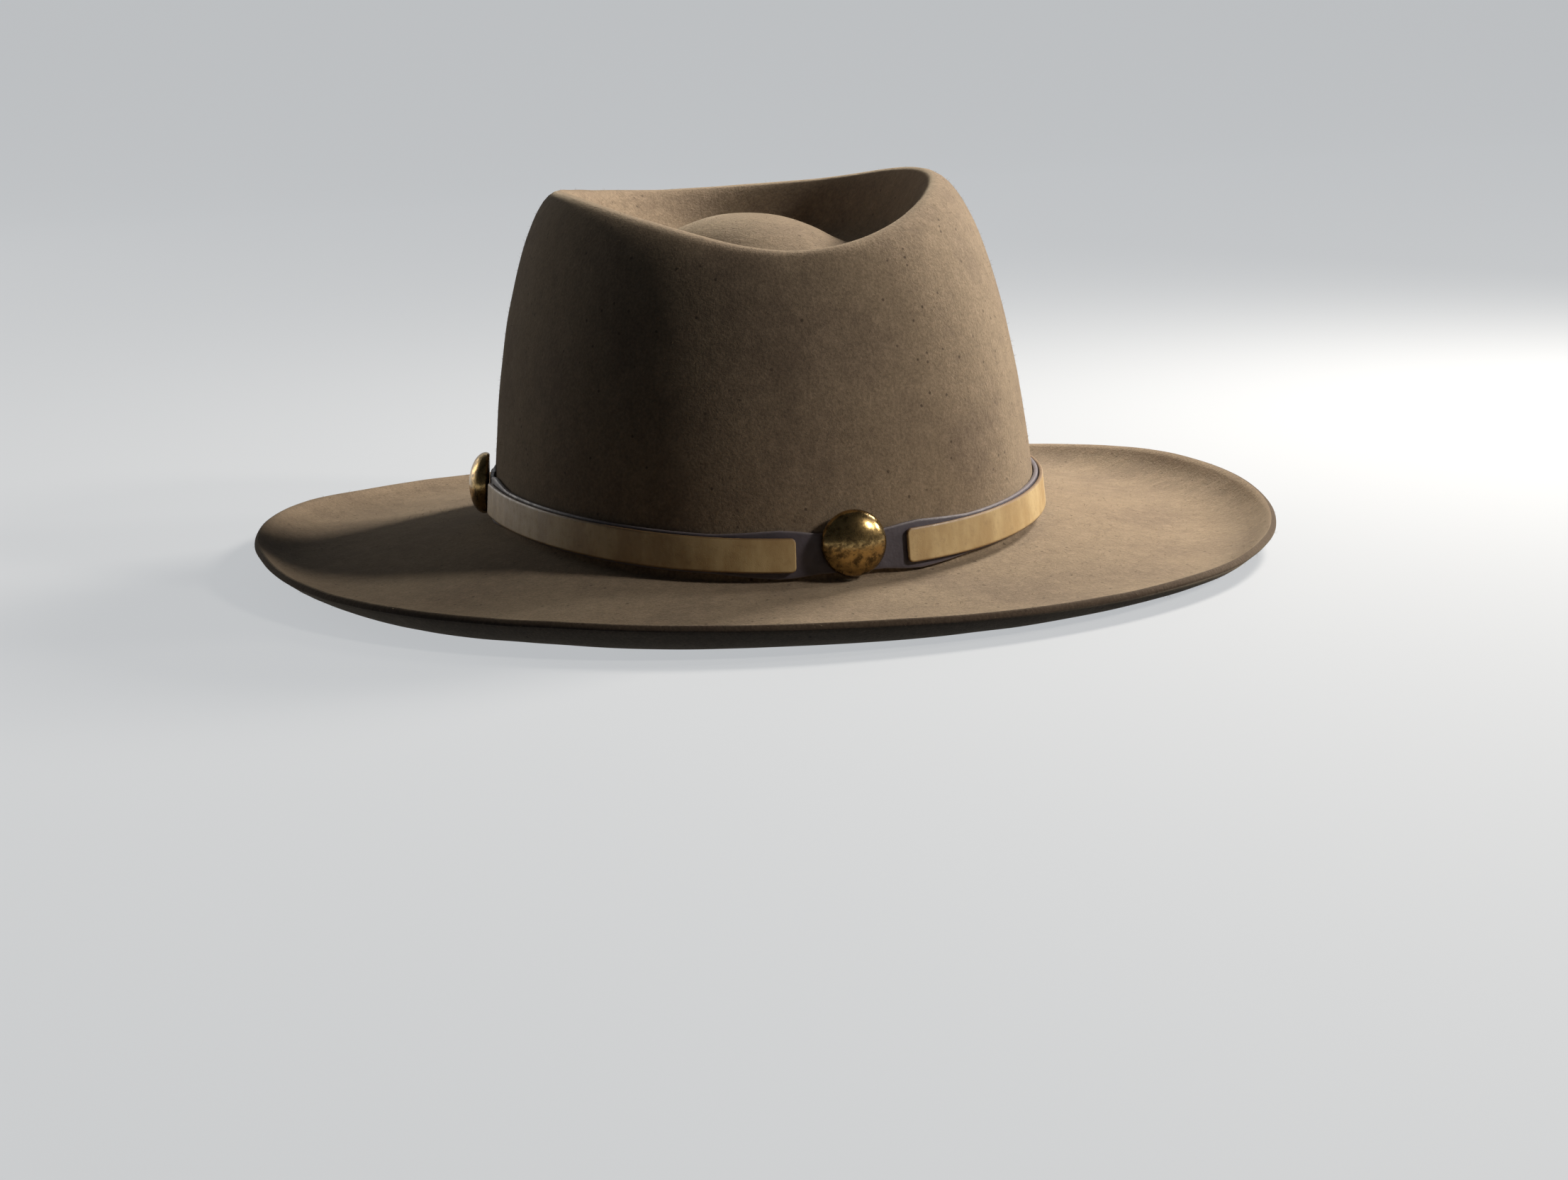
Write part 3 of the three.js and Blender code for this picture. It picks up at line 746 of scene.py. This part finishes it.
# %% Material: dyed strap leather
STRAP_DARK = "#342f36"
STRAP_LIGHT = "#575059"
STRAP_EDGE = "#837a7c"
STRAP_PEBBLE = 0.8  # mm
STRAP_CREASE = 2.6  # mm
STRAP_CLOUD = 7  # mm
STRAP_WEAR = 0.7  # mm from the cut edge


def dyed_leather():
    material, tree = new_material("dyed_strap_leather")
    place = add(tree, "ShaderNodeTexCoord").outputs["Object"]
    clouds = add(tree, "ShaderNodeTexNoise",
                 {"Vector": place, "Scale": per(STRAP_CLOUD), "Detail": 4})
    body = add(tree, "ShaderNodeMix",
               {0: clouds, 6: colour(STRAP_DARK), 7: colour(STRAP_LIGHT)}, **COLOURS)
    edge = add(tree, "ShaderNodeAttribute", attribute_name="from_edge").outputs["Fac"]
    paler_share = add(tree, "ShaderNodeMapRange",
               {"Value": edge, "From Max": STRAP_WEAR * MM, "To Min": 0.6, "To Max": 0.0}, **SMOOTH)
    body = add(tree, "ShaderNodeMix", {0: paler_share, 6: body, 7: colour(STRAP_EDGE)}, **COLOURS)
    pebbles = add(tree, "ShaderNodeTexVoronoi", {"Vector": place, "Scale": per(STRAP_PEBBLE)},
                  feature="SMOOTH_F1")
    creases = add(tree, "ShaderNodeTexNoise",
                  {"Vector": place, "Scale": per(STRAP_CREASE), "Detail": 5})
    grain = add(tree, "ShaderNodeBump",
                {"Strength": 0.4, "Distance": 0.12 * MM, "Height": pebbles})
    folds = add(tree, "ShaderNodeBump",
                {"Strength": 0.4, "Distance": 0.2 * MM, "Height": creases, "Normal": grain})
    gloss = add(tree, "ShaderNodeMapRange", {
        "Value": creases, "From Min": 0.3, "From Max": 0.7,
        "To Min": 0.42, "To Max": 0.62}, **SMOOTH)
    shader = add(tree, "ShaderNodeBsdfPrincipled", {
        "Base Color": body, "Roughness": gloss, "Normal": folds,
        "Coat Weight": 0.06, "Coat Roughness": 0.4})
    add(tree, "ShaderNodeOutputMaterial", {"Surface": shader})
    return material


strap_finish = dyed_leather()
print("strap leather:", strap_finish.name)

# %% [markdown]
# ## Strip leather
# The strips are vegetable-tanned cowhide in its natural tan: smooth, slightly waxy, with faint
# bands where the hide stretched, tiny pores, and edges that were burnished darker. The pattern
# follows the strip, because it reads the place on the leather that the tree has stored.

# %% Material: natural tan leather
TAN_DARK = "#a88b5e"
TAN_LIGHT = "#c3aa7b"
TAN_SMEAR = "#8a6f4a"
TAN_BURNISHED = "#6b4c30"
HIDE_BAND = 9  # mm
HIDE_SMEAR = 2.2  # mm
BURNISH = (0.05, 0.75)  # mm from the cut edge, where it starts to fade and where it ends
HIDE_PORE = 0.55  # mm; real pores are finer, near 0.2 mm, and are drawn coarser, to show at all


def tan_leather():
    material, tree = new_material("vegetable_tanned_leather")
    lay = add(tree, "ShaderNodeAttribute", attribute_name="lay").outputs["Vector"]
    drawn = add(tree, "ShaderNodeMapping", {"Vector": lay, "Scale": (1, 0.35, 1)})
    bands = add(tree, "ShaderNodeTexNoise",
                {"Vector": drawn, "Scale": per(HIDE_BAND), "Detail": 4, "Roughness": 0.6})
    share = add(tree, "ShaderNodeMapRange",
                {"Value": bands, "From Min": 0.34, "From Max": 0.68}, **SMOOTH)
    body = add(tree, "ShaderNodeMix",
               {0: share, 6: colour(TAN_DARK), 7: colour(TAN_LIGHT)}, **COLOURS)
    smear = add(tree, "ShaderNodeTexNoise",
                {"Vector": lay, "Scale": per(HIDE_SMEAR), "Detail": 6, "Roughness": 0.7})
    share = add(tree, "ShaderNodeMapRange",
                {"Value": smear, "From Min": 0.5, "From Max": 0.75, "To Max": 0.4}, **SMOOTH)
    body = add(tree, "ShaderNodeMix", {0: share, 6: body, 7: colour(TAN_SMEAR)}, **COLOURS)
    edge = add(tree, "ShaderNodeAttribute", attribute_name="from_edge").outputs["Fac"]
    share = add(tree, "ShaderNodeMapRange", {
        "Value": edge, "From Min": BURNISH[0] * MM, "From Max": BURNISH[1] * MM,
        "To Min": 0.75, "To Max": 0.0}, **SMOOTH)
    body = add(tree, "ShaderNodeMix", {0: share, 6: body, 7: colour(TAN_BURNISHED)}, **COLOURS)
    pores = add(tree, "ShaderNodeTexVoronoi", {"Vector": lay, "Scale": per(HIDE_PORE)})
    pits = add(tree, "ShaderNodeMapRange", {"Value": pores, "From Max": 0.35}, **SMOOTH)
    dots = add(tree, "ShaderNodeBump", {"Strength": 0.35, "Distance": 0.08 * MM, "Height": pits})
    stretched = add(tree, "ShaderNodeBump",
                    {"Strength": 0.35, "Distance": 0.25 * MM, "Height": bands, "Normal": dots})
    gloss = add(tree, "ShaderNodeMapRange", {
        "Value": smear, "From Min": 0.3, "From Max": 0.75,
        "To Min": 0.38, "To Max": 0.62}, **SMOOTH)
    shader = add(tree, "ShaderNodeBsdfPrincipled", {
        "Base Color": body, "Roughness": gloss, "Normal": stretched,
        "Coat Weight": 0.1, "Coat Roughness": 0.35})
    add(tree, "ShaderNodeOutputMaterial", {"Surface": shader})
    return material


strip_finish = tan_leather()
print("strip leather:", strip_finish.name)

# %% [markdown]
# The strap is wider beside the studs, where it shows past the ends of the strips, and narrow
# everywhere else. Its path goes all the way round, so its two ends are one.

# %% The dark strap
PATH_STEP = 2.0
EDGE_RADIUS = 0.4
PROFILE_SPACING = 0.4

strap_count = round(float(strap_length) / PATH_STEP)
strap_distances = np.arange(strap_count) * strap_length / strap_count
to_stud = np.full(strap_count, strap_length)
for stud_place in stud_places.values():
    gap = np.abs(strap_distances - stud_place)
    to_stud = np.minimum(to_stud, np.minimum(gap, strap_length - gap))
shares = np.interp(to_stud / (STUD_OPENING / 2), *zip(*STRAP_SECTIONS))
strap_path = leather_path("strap", strap_distances, shares * STRAP_WIDTH / 2,
                          np.ones(strap_count), GAP, closed=True)
strap = run_tree("dark_strap", strap_path, strip_tree, {
    "Width": STRAP_WIDTH * MM, "Thickness": STRAP_THICKNESS * MM,
    "Edge radius": EDGE_RADIUS * MM, "Spacing": PROFILE_SPACING * MM, "Material": strap_finish,
})

# %% [markdown]
# Each strip ends a little way from a stud in two rounded corners. Near its end both its width and
# its body draw in along a quarter circle, which rounds the corners in plan and breaks the edge.

# %% The tan strips
END_STEPS = 8
FIRST_TURN = 0.08  # radians round the corner, where the end face of a strip stands


def quarter_round(distance, radius):
    """How far a corner of this radius draws in, at a distance from the end."""
    left = np.clip(radius - distance, 0, radius)
    return radius - np.sqrt(radius ** 2 - left ** 2)


def tan_strip(name, start, end):
    first, last = start + STUD_OPENING / 2, end - STUD_OPENING / 2
    corner = STRIP_CORNER * (1 - np.cos(np.linspace(FIRST_TURN, math.pi / 2, END_STEPS)))
    count = round((last - first - 2 * STRIP_CORNER) / PATH_STEP)
    inner = np.linspace(first + STRIP_CORNER, last - STRIP_CORNER, count + 1)[1:-1]
    distances = np.concatenate([first + corner, inner, last - corner[::-1]])
    to_end = np.minimum(distances - first, last - distances)
    half = STRIP_WIDTH / 2 - quarter_round(to_end, STRIP_CORNER)
    body = 1 - 2 * quarter_round(to_end, EDGE_RADIUS) / STRIP_THICKNESS
    away = GAP + STRAP_THICKNESS + GAP
    mesh = leather_path(name, distances, half, body, away, closed=False)
    return run_tree(name, mesh, strip_tree, {
        "Width": STRIP_WIDTH * MM, "Thickness": STRIP_THICKNESS * MM,
        "Edge radius": EDGE_RADIUS * MM, "Spacing": PROFILE_SPACING * MM,
        "Material": strip_finish,
    })


strips = {
    "strip_front_left": tan_strip("tan_strip_front_left", 0, stud_places["left"]),
    "strip_back": tan_strip("tan_strip_back", stud_places["left"], stud_places["right"]),
    "strip_front_right": tan_strip("tan_strip_front_right", stud_places["right"], strap_length),
}

# %% [markdown]
# ## Antique brass
# The studs are stamped brass, browned with a patina and then rubbed back, so the top is bright
# and warm and the hollows stay brown and dull. Bare metal takes its whole colour from its
# reflections. The patina breaks them up, so roughness and colour follow the same blotches.

# %% Material: antique brass
BRASS_RUBBED = "#b89a66"
BRASS_PATINA = "#584930"
BRASS_PIT = "#2a241b"
BLOTCH_SIZE = 2.6  # mm
FLECK_SIZE = 0.7  # mm


def antique_brass():
    material, tree = new_material("antique_brass")
    place = add(tree, "ShaderNodeTexCoord").outputs["Object"]
    blotches = add(tree, "ShaderNodeTexNoise",
                   {"Vector": place, "Scale": per(BLOTCH_SIZE), "Detail": 5, "Roughness": 0.65})
    flecks = add(tree, "ShaderNodeTexNoise",
                 {"Vector": place, "Scale": per(FLECK_SIZE), "Detail": 3})
    stain = add(tree, "ShaderNodeMapRange",
                {"Value": blotches, "From Min": 0.4, "From Max": 0.66}, **SMOOTH)
    metal = add(tree, "ShaderNodeMix",
                {0: stain, 6: colour(BRASS_RUBBED), 7: colour(BRASS_PATINA)}, **COLOURS)
    pits = add(tree, "ShaderNodeMapRange",
               {"Value": flecks, "From Min": 0.58, "From Max": 0.72, "To Max": 0.6}, **SMOOTH)
    metal = add(tree, "ShaderNodeMix", {0: pits, 6: metal, 7: colour(BRASS_PIT)}, **COLOURS)
    gloss = add(tree, "ShaderNodeMapRange", {
        "Value": blotches, "From Min": 0.35, "From Max": 0.7,
        "To Min": 0.18, "To Max": 0.36}, **SMOOTH)
    beaten = add(tree, "ShaderNodeBump",
                 {"Strength": 0.25, "Distance": 0.06 * MM, "Height": flecks})
    shader = add(tree, "ShaderNodeBsdfPrincipled", {
        "Base Color": metal, "Roughness": gloss, "Normal": beaten, "Metallic": 1.0})
    add(tree, "ShaderNodeOutputMaterial", {"Surface": shader})
    return material


brass_finish = antique_brass()
print("metal:", brass_finish.name)

# %% [markdown]
# Three equal studs sit on the strap. One dome is made from a ball: its upper half is squeezed to
# the stud's height, its lower half is pressed flat against the strap. The tree puts a copy on
# each point and turns it so that it faces straight out of the wall.

# %% Tree: studs on the strap
stud_tree, given, stud_end = new_tree("studs_on_the_strap", {
    "Diameter": "Float", "Height": "Float", "Rim height": "Float", "Post diameter": "Float",
    "Post length": "Float", "Lift": "Float", "Dents": "Float", "Material": "Material",
})
FLAT_FROM = -0.34  # below this height the ball is pressed flat, as a share of its radius
DENT_SCALE = 5.5  # of the noise on a ball with a radius of 1
ball = add(stud_tree, "GeometryNodeMeshUVSphere", {"Segments": 96, "Rings": 64, "Radius": 1.0})
at = add(stud_tree, "GeometryNodeInputPosition")
axes = add(stud_tree, "ShaderNodeSeparateXYZ", {0: at}).outputs
radius = add(stud_tree, "ShaderNodeMath", {0: given["Diameter"], 1: 2}, operation="DIVIDE")
above = add(stud_tree, "ShaderNodeMath", {0: axes[2], 1: 0}, operation="MAXIMUM")
foot_share = add(stud_tree, "ShaderNodeMapRange", {"Value": axes[2], "From Min": FLAT_FROM,
                                                   "From Max": 0})
low = add(stud_tree, "ShaderNodeMath",
          {0: foot_share, 1: given["Rim height"]}, operation="MULTIPLY")
rise = add(stud_tree, "ShaderNodeMath",
           {0: given["Height"], 1: given["Rim height"]}, operation="SUBTRACT")
bumps = add(stud_tree, "ShaderNodeTexNoise", {"Vector": at, "Scale": DENT_SCALE, "Detail": 2})
dent = add(stud_tree, "ShaderNodeMath", {0: bumps, 1: 0.5}, operation="SUBTRACT")
rise = add(stud_tree, "ShaderNodeMath",
           {0: dent, 1: given["Dents"], 2: rise}, operation="MULTIPLY_ADD")
height = add(stud_tree, "ShaderNodeMath", {0: above, 1: rise, 2: low}, operation="MULTIPLY_ADD")
x = add(stud_tree, "ShaderNodeMath", {0: axes[0], 1: radius}, operation="MULTIPLY")
y = add(stud_tree, "ShaderNodeMath",
        {0: axes[1], 1: radius, 2: given["Lift"]}, operation="MULTIPLY_ADD")
shape = add(stud_tree, "ShaderNodeCombineXYZ", {0: x, 1: y, 2: height})
dome = add(stud_tree, "GeometryNodeSetPosition", {"Geometry": ball, "Position": shape})
print("segments round a dome:", ball.inputs["Segments"].default_value)

# %% [markdown]
# A real stud is held by a post that goes through the strap. A short plain cylinder under the dome
# stands for it, and then every stud is turned by its point's directions.

# %% Tree: post, and a copy at every place
wide = add(stud_tree, "ShaderNodeMath", {0: given["Post diameter"], 1: 2}, operation="DIVIDE")
post = add(stud_tree, "GeometryNodeMeshCylinder",
           {"Vertices": 24, "Radius": wide, "Depth": given["Post length"]})
down = add(stud_tree, "ShaderNodeMath", {0: given["Post length"], 1: -2}, operation="DIVIDE")
sink = add(stud_tree, "ShaderNodeCombineXYZ", {2: down})
post = add(stud_tree, "GeometryNodeTransform", {"Geometry": post, "Translation": sink})
stud = add(stud_tree, "GeometryNodeJoinGeometry", {0: dome})
stud_tree.links.new(post.outputs[0], stud.inputs[0])
out, up = (add(stud_tree, "GeometryNodeInputNamedAttribute", {"Name": name},
               data_type="FLOAT_VECTOR") for name in ("out", "up"))
facing = add(stud_tree, "FunctionNodeAxesToRotation", {0: out, 1: up},
             primary_axis="Z", secondary_axis="Y")
copies = add(stud_tree, "GeometryNodeInstanceOnPoints",
             {"Points": given["Geometry"], "Instance": stud, "Rotation": facing})
close_tree(stud_tree, copies, given["Material"], stud_end)

# %% [markdown]
# The tree runs on three points just off the strap's outer face. Each point carries two
# directions, out of the wall and up along it.

# %% Put the three studs on
STUD_DENTS = 0.12
stud_angles = angle_at(np.array(list(stud_places.values())))
stud_points, stud_along, _, stud_out = on_wall(stud_angles, band_rise)
stud_up = np.cross(stud_out, stud_along)
stud_points = (stud_points + (GAP + STRAP_THICKNESS + GAP) * stud_out + FOOT_ORIGIN) * MM
stud_mesh = bpy.data.meshes.new("stud_places")
stud_mesh.from_pydata(stud_points.tolist(), [], [])
for label, values in (("out", stud_out), ("up", stud_up)):
    layer = stud_mesh.attributes.new(label, "FLOAT_VECTOR", "POINT")
    layer.data.foreach_set("vector", values.astype(np.float32).ravel())
studs = run_tree("brass_studs", stud_mesh, stud_tree, {
    "Diameter": STUD_DIAMETER * MM, "Height": STUD_HEIGHT * MM, "Rim height": STUD_RIM * MM,
    "Post diameter": POST_DIAMETER * MM, "Post length": (STRAP_THICKNESS + GAP) * MM,
    "Lift": (stud_rise - band_rise) * MM, "Dents": STUD_DENTS * MM, "Material": brass_finish,
})

# %% [markdown]
# ## Loose fibres on the felt
# Brushed felt keeps a short fuzz. It shows as a soft line against the light along the crest and
# the lip. Real fibres are about 0.02 mm thick and far too many, so these are fewer and drawn
# coarser, near 0.07 mm, which gives the same softness at this size. Each is a thin bent spike
# with three sides, scattered by a fixed seed where the felt is marked as loose.

# %% Tree: loose fibres
fibre_tree, given, fibre_end = new_tree("loose_fibres", {
    "Density": "Float", "Length": "Float", "Thickness": "Float", "Bend": "Float",
    "Seed": "Int", "Material": "Material",
})
marked_loose = add(fibre_tree, "GeometryNodeInputNamedAttribute", {"Name": "loose"},
                   data_type="FLOAT")
spread = add(fibre_tree, "ShaderNodeMath",
             {0: given["Density"], 1: marked_loose}, operation="MULTIPLY")
spots = add(fibre_tree, "GeometryNodeDistributePointsOnFaces",
            {"Mesh": given["Geometry"], "Density": spread, "Seed": given["Seed"]})
thin = add(fibre_tree, "ShaderNodeMath", {0: given["Thickness"], 1: 2}, operation="DIVIDE")
spike = add(fibre_tree, "GeometryNodeMeshCone",
            {"Vertices": 3, "Side Segments": 2, "Radius Top": 0.0, "Radius Bottom": thin,
             "Depth": given["Length"]})
at = add(fibre_tree, "GeometryNodeInputPosition")
rise = add(fibre_tree, "ShaderNodeSeparateXYZ", {0: at}).outputs[2]
part = add(fibre_tree, "ShaderNodeMath", {0: rise, 1: given["Length"]}, operation="DIVIDE")
part = add(fibre_tree, "ShaderNodeMath", {0: part, 1: part}, operation="MULTIPLY")
lean = add(fibre_tree, "ShaderNodeMath", {0: part, 1: given["Bend"]}, operation="MULTIPLY")
aside = add(fibre_tree, "ShaderNodeCombineXYZ", {0: lean})
bent = add(fibre_tree, "GeometryNodeSetPosition", {"Geometry": spike, "Offset": aside})
print("segments in a fibre:", spike.inputs["Side Segments"].default_value)

# %% [markdown]
# Each fibre leans its own way and has its own length. The random values have a fixed seed, so the
# same fibres stand in the same places every time.

# %% Tree: a fibre on every spot
MOST_LEAN = 1.25
SHORTEST = 0.45
LONGEST = 1.2
tilt = add(fibre_tree, "FunctionNodeRandomValue", {
    0: (-MOST_LEAN, -MOST_LEAN, 0.0), 1: (MOST_LEAN, MOST_LEAN, 2 * math.pi),
    "Seed": given["Seed"]}, data_type="FLOAT_VECTOR")
tilt = add(fibre_tree, "FunctionNodeEulerToRotation", {0: tilt})
turned = add(fibre_tree, "FunctionNodeRotateRotation",
             {0: spots.outputs["Rotation"], 1: tilt}, rotation_space="LOCAL")
size = add(fibre_tree, "FunctionNodeRandomValue",
           {2: SHORTEST, 3: LONGEST, "Seed": given["Seed"]}, data_type="FLOAT")
hairs = add(fibre_tree, "GeometryNodeInstanceOnPoints",
            {"Points": spots, "Instance": bent, "Rotation": turned, "Scale": size})
close_tree(fibre_tree, hairs, given["Material"], fibre_end)

# %% [markdown]
# A loose fibre is the same fur, but single, so light goes round it and it looks paler than the
# matted felt under it.

# %% Scatter the fibres
FIBRES_PER_SQUARE_METRE = 80000.0
FIBRE_LENGTH = 1.1
FIBRE_THICKNESS = 0.07
FIBRE_BEND = 0.5
FIBRE_DARK = "#685a4a"
FIBRE_PALE = "#a8957a"
FIBRE_TONES = 3  # mm between darker and paler tufts
FIBRE_SEED = 7


def single_fibre():
    material, tree = new_material("single_fur_fibre")
    place = add(tree, "ShaderNodeTexCoord").outputs["Object"]
    tone = add(tree, "ShaderNodeTexNoise", {"Vector": place, "Scale": per(FIBRE_TONES)})
    share = add(tree, "ShaderNodeMapRange",
                {"Value": tone, "From Min": 0.35, "From Max": 0.65}, **SMOOTH)
    dye = add(tree, "ShaderNodeMix",
              {0: share, 6: colour(FIBRE_DARK), 7: colour(FIBRE_PALE)}, **COLOURS)
    shader = add(tree, "ShaderNodeBsdfPrincipled", {
        "Base Color": dye, "Roughness": 0.7, "Specular IOR Level": 0.2, "Sheen Weight": 0.2})
    add(tree, "ShaderNodeOutputMaterial", {"Surface": shader})
    return material


fibres = run_tree("loose_felt_fibres", felt.data.copy(), fibre_tree, {
    "Density": FIBRES_PER_SQUARE_METRE, "Length": FIBRE_LENGTH * MM,
    "Thickness": FIBRE_THICKNESS * MM, "Bend": FIBRE_BEND * MM,
    "Seed": FIBRE_SEED, "Material": single_fibre(),
}, turn_out=False)

# %% [markdown]
# ## Put every piece on the hat's body
# Every piece rides on the one body of the hat, and each one that has an imported solid takes its
# place, which is hidden.

# %% Pieces and their imported solids
for piece, slot_name, replaced in (
    (felt, "felt", ["felt_body"]),
    (fibres, "felt", []),
    (strap, "dark_leather", ["base_strap"]),
    (studs, "aged_brass", ["stud_front", "stud_left", "stud_right"]),
    *((strip, "tan_leather", [node]) for node, strip in strips.items()),
):
    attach(piece, "root")
    if replaced:
        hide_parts(*replaced)
    print(piece.name, "stands for", replaced or "nothing packed")

# %% [markdown]
# ## Floor and light
# A softbox close by on the right lights the right side of the crown and the left wall of the
# dent, and fades across the brim, because light from a near lamp weakens with distance. Two
# farther ones fill in from the front right, and a broad weak one gives the left edge a rim of
# light from behind.

# %% Lamps
LAMP_TINT = "#fff8ee"
LAMP_AIM = Vector((0, 0, 0.05))


def lamp(name, azimuth, elevation, distance, side, power):
    """A square softbox. Angles round and above the hat are in degrees, sizes in metres."""
    data = bpy.data.lights.new(name, "AREA")
    data.shape = "SQUARE"
    data.size = side
    data.energy = power
    data.color = colour(LAMP_TINT)[:3]
    light = bpy.data.objects.new(name, data)
    a, e = math.radians(azimuth), math.radians(elevation)
    towards = Vector((math.sin(a) * math.cos(e), -math.cos(a) * math.cos(e), math.sin(e)))
    light.matrix_world = Matrix.Translation(LAMP_AIM + towards * distance) @ (
        towards.to_track_quat("Z", "Y").to_matrix().to_4x4())
    scene.collection.objects.link(light)
    print(name + ":", power, "watts from", [round(value, 2) for value in light.location])


lamp("key_light", azimuth=112, elevation=34, distance=0.65, side=0.16, power=7.6)
lamp("front_light", azimuth=52, elevation=28, distance=1.5, side=0.18, power=12)
lamp("side_light", azimuth=80, elevation=20, distance=1.5, side=0.2, power=7)
lamp("rim_light", azimuth=-145, elevation=12, distance=1.8, side=0.8, power=5)

# %% [markdown]
# The hat rests on one plain pale sheet, flat under it and far in front of it, and curved up
# behind it, so that no edge shows there. The sheet glows, so it stays pale and even, and a soft
# shadow still shows on it. The room adds a faint cool fill.

# %% Floor and room, in metres
FLOOR_GREY = "#6c6d6e"
FLOOR_GLOW = "#e4e7ea"
GLOW_STRENGTH = 0.62
ROOM_COLOUR = "#dfe4ea"
ROOM_STRENGTH = 0.04
FLOOR_HALF = 5.0
SWEEP_START = 1.6  # where the floor starts to curve up behind the hat
SWEEP_RADIUS = 1.2
SWEEP_HEIGHT = 3.0
SWEEP_STEPS = 24

sweep = [(-FLOOR_HALF, 0.0), (SWEEP_START, 0.0)]
for k in range(1, SWEEP_STEPS + 1):
    turn = math.pi / 2 * k / SWEEP_STEPS
    sweep.append((SWEEP_START + SWEEP_RADIUS * math.sin(turn), SWEEP_RADIUS * (1 - math.cos(turn))))
sweep.append((SWEEP_START + SWEEP_RADIUS, SWEEP_HEIGHT))
floor_points = [(side * FLOOR_HALF, y, z) for y, z in sweep for side in (-1, 1)]
floor_faces = [(2 * i, 2 * i + 1, 2 * i + 3, 2 * i + 2) for i in range(len(sweep) - 1)]
floor_mesh = bpy.data.meshes.new("floor")
floor_mesh.from_pydata(floor_points, [], floor_faces)
floor_mesh.shade_smooth()
floor_finish, floor_nodes = new_material("pale_floor")
paper = add(floor_nodes, "ShaderNodeBsdfPrincipled", {
    "Base Color": colour(FLOOR_GREY), "Roughness": 0.9,
    "Emission Color": colour(FLOOR_GLOW), "Emission Strength": GLOW_STRENGTH})
add(floor_nodes, "ShaderNodeOutputMaterial", {"Surface": paper})
floor_mesh.materials.append(floor_finish)
floor = bpy.data.objects.new("floor", floor_mesh)
scene.collection.objects.link(floor)
floor.visible_diffuse = False  # so the floor's glow doesn't light the hat from below

room = bpy.data.worlds.new("room")
room.use_nodes = True
room.node_tree.nodes["Background"].inputs["Color"].default_value = colour(ROOM_COLOUR)
room.node_tree.nodes["Background"].inputs["Strength"].default_value = ROOM_STRENGTH
scene.world = room
scene.view_settings.view_transform = "Standard"
print("floor:", len(floor_faces), "strips")
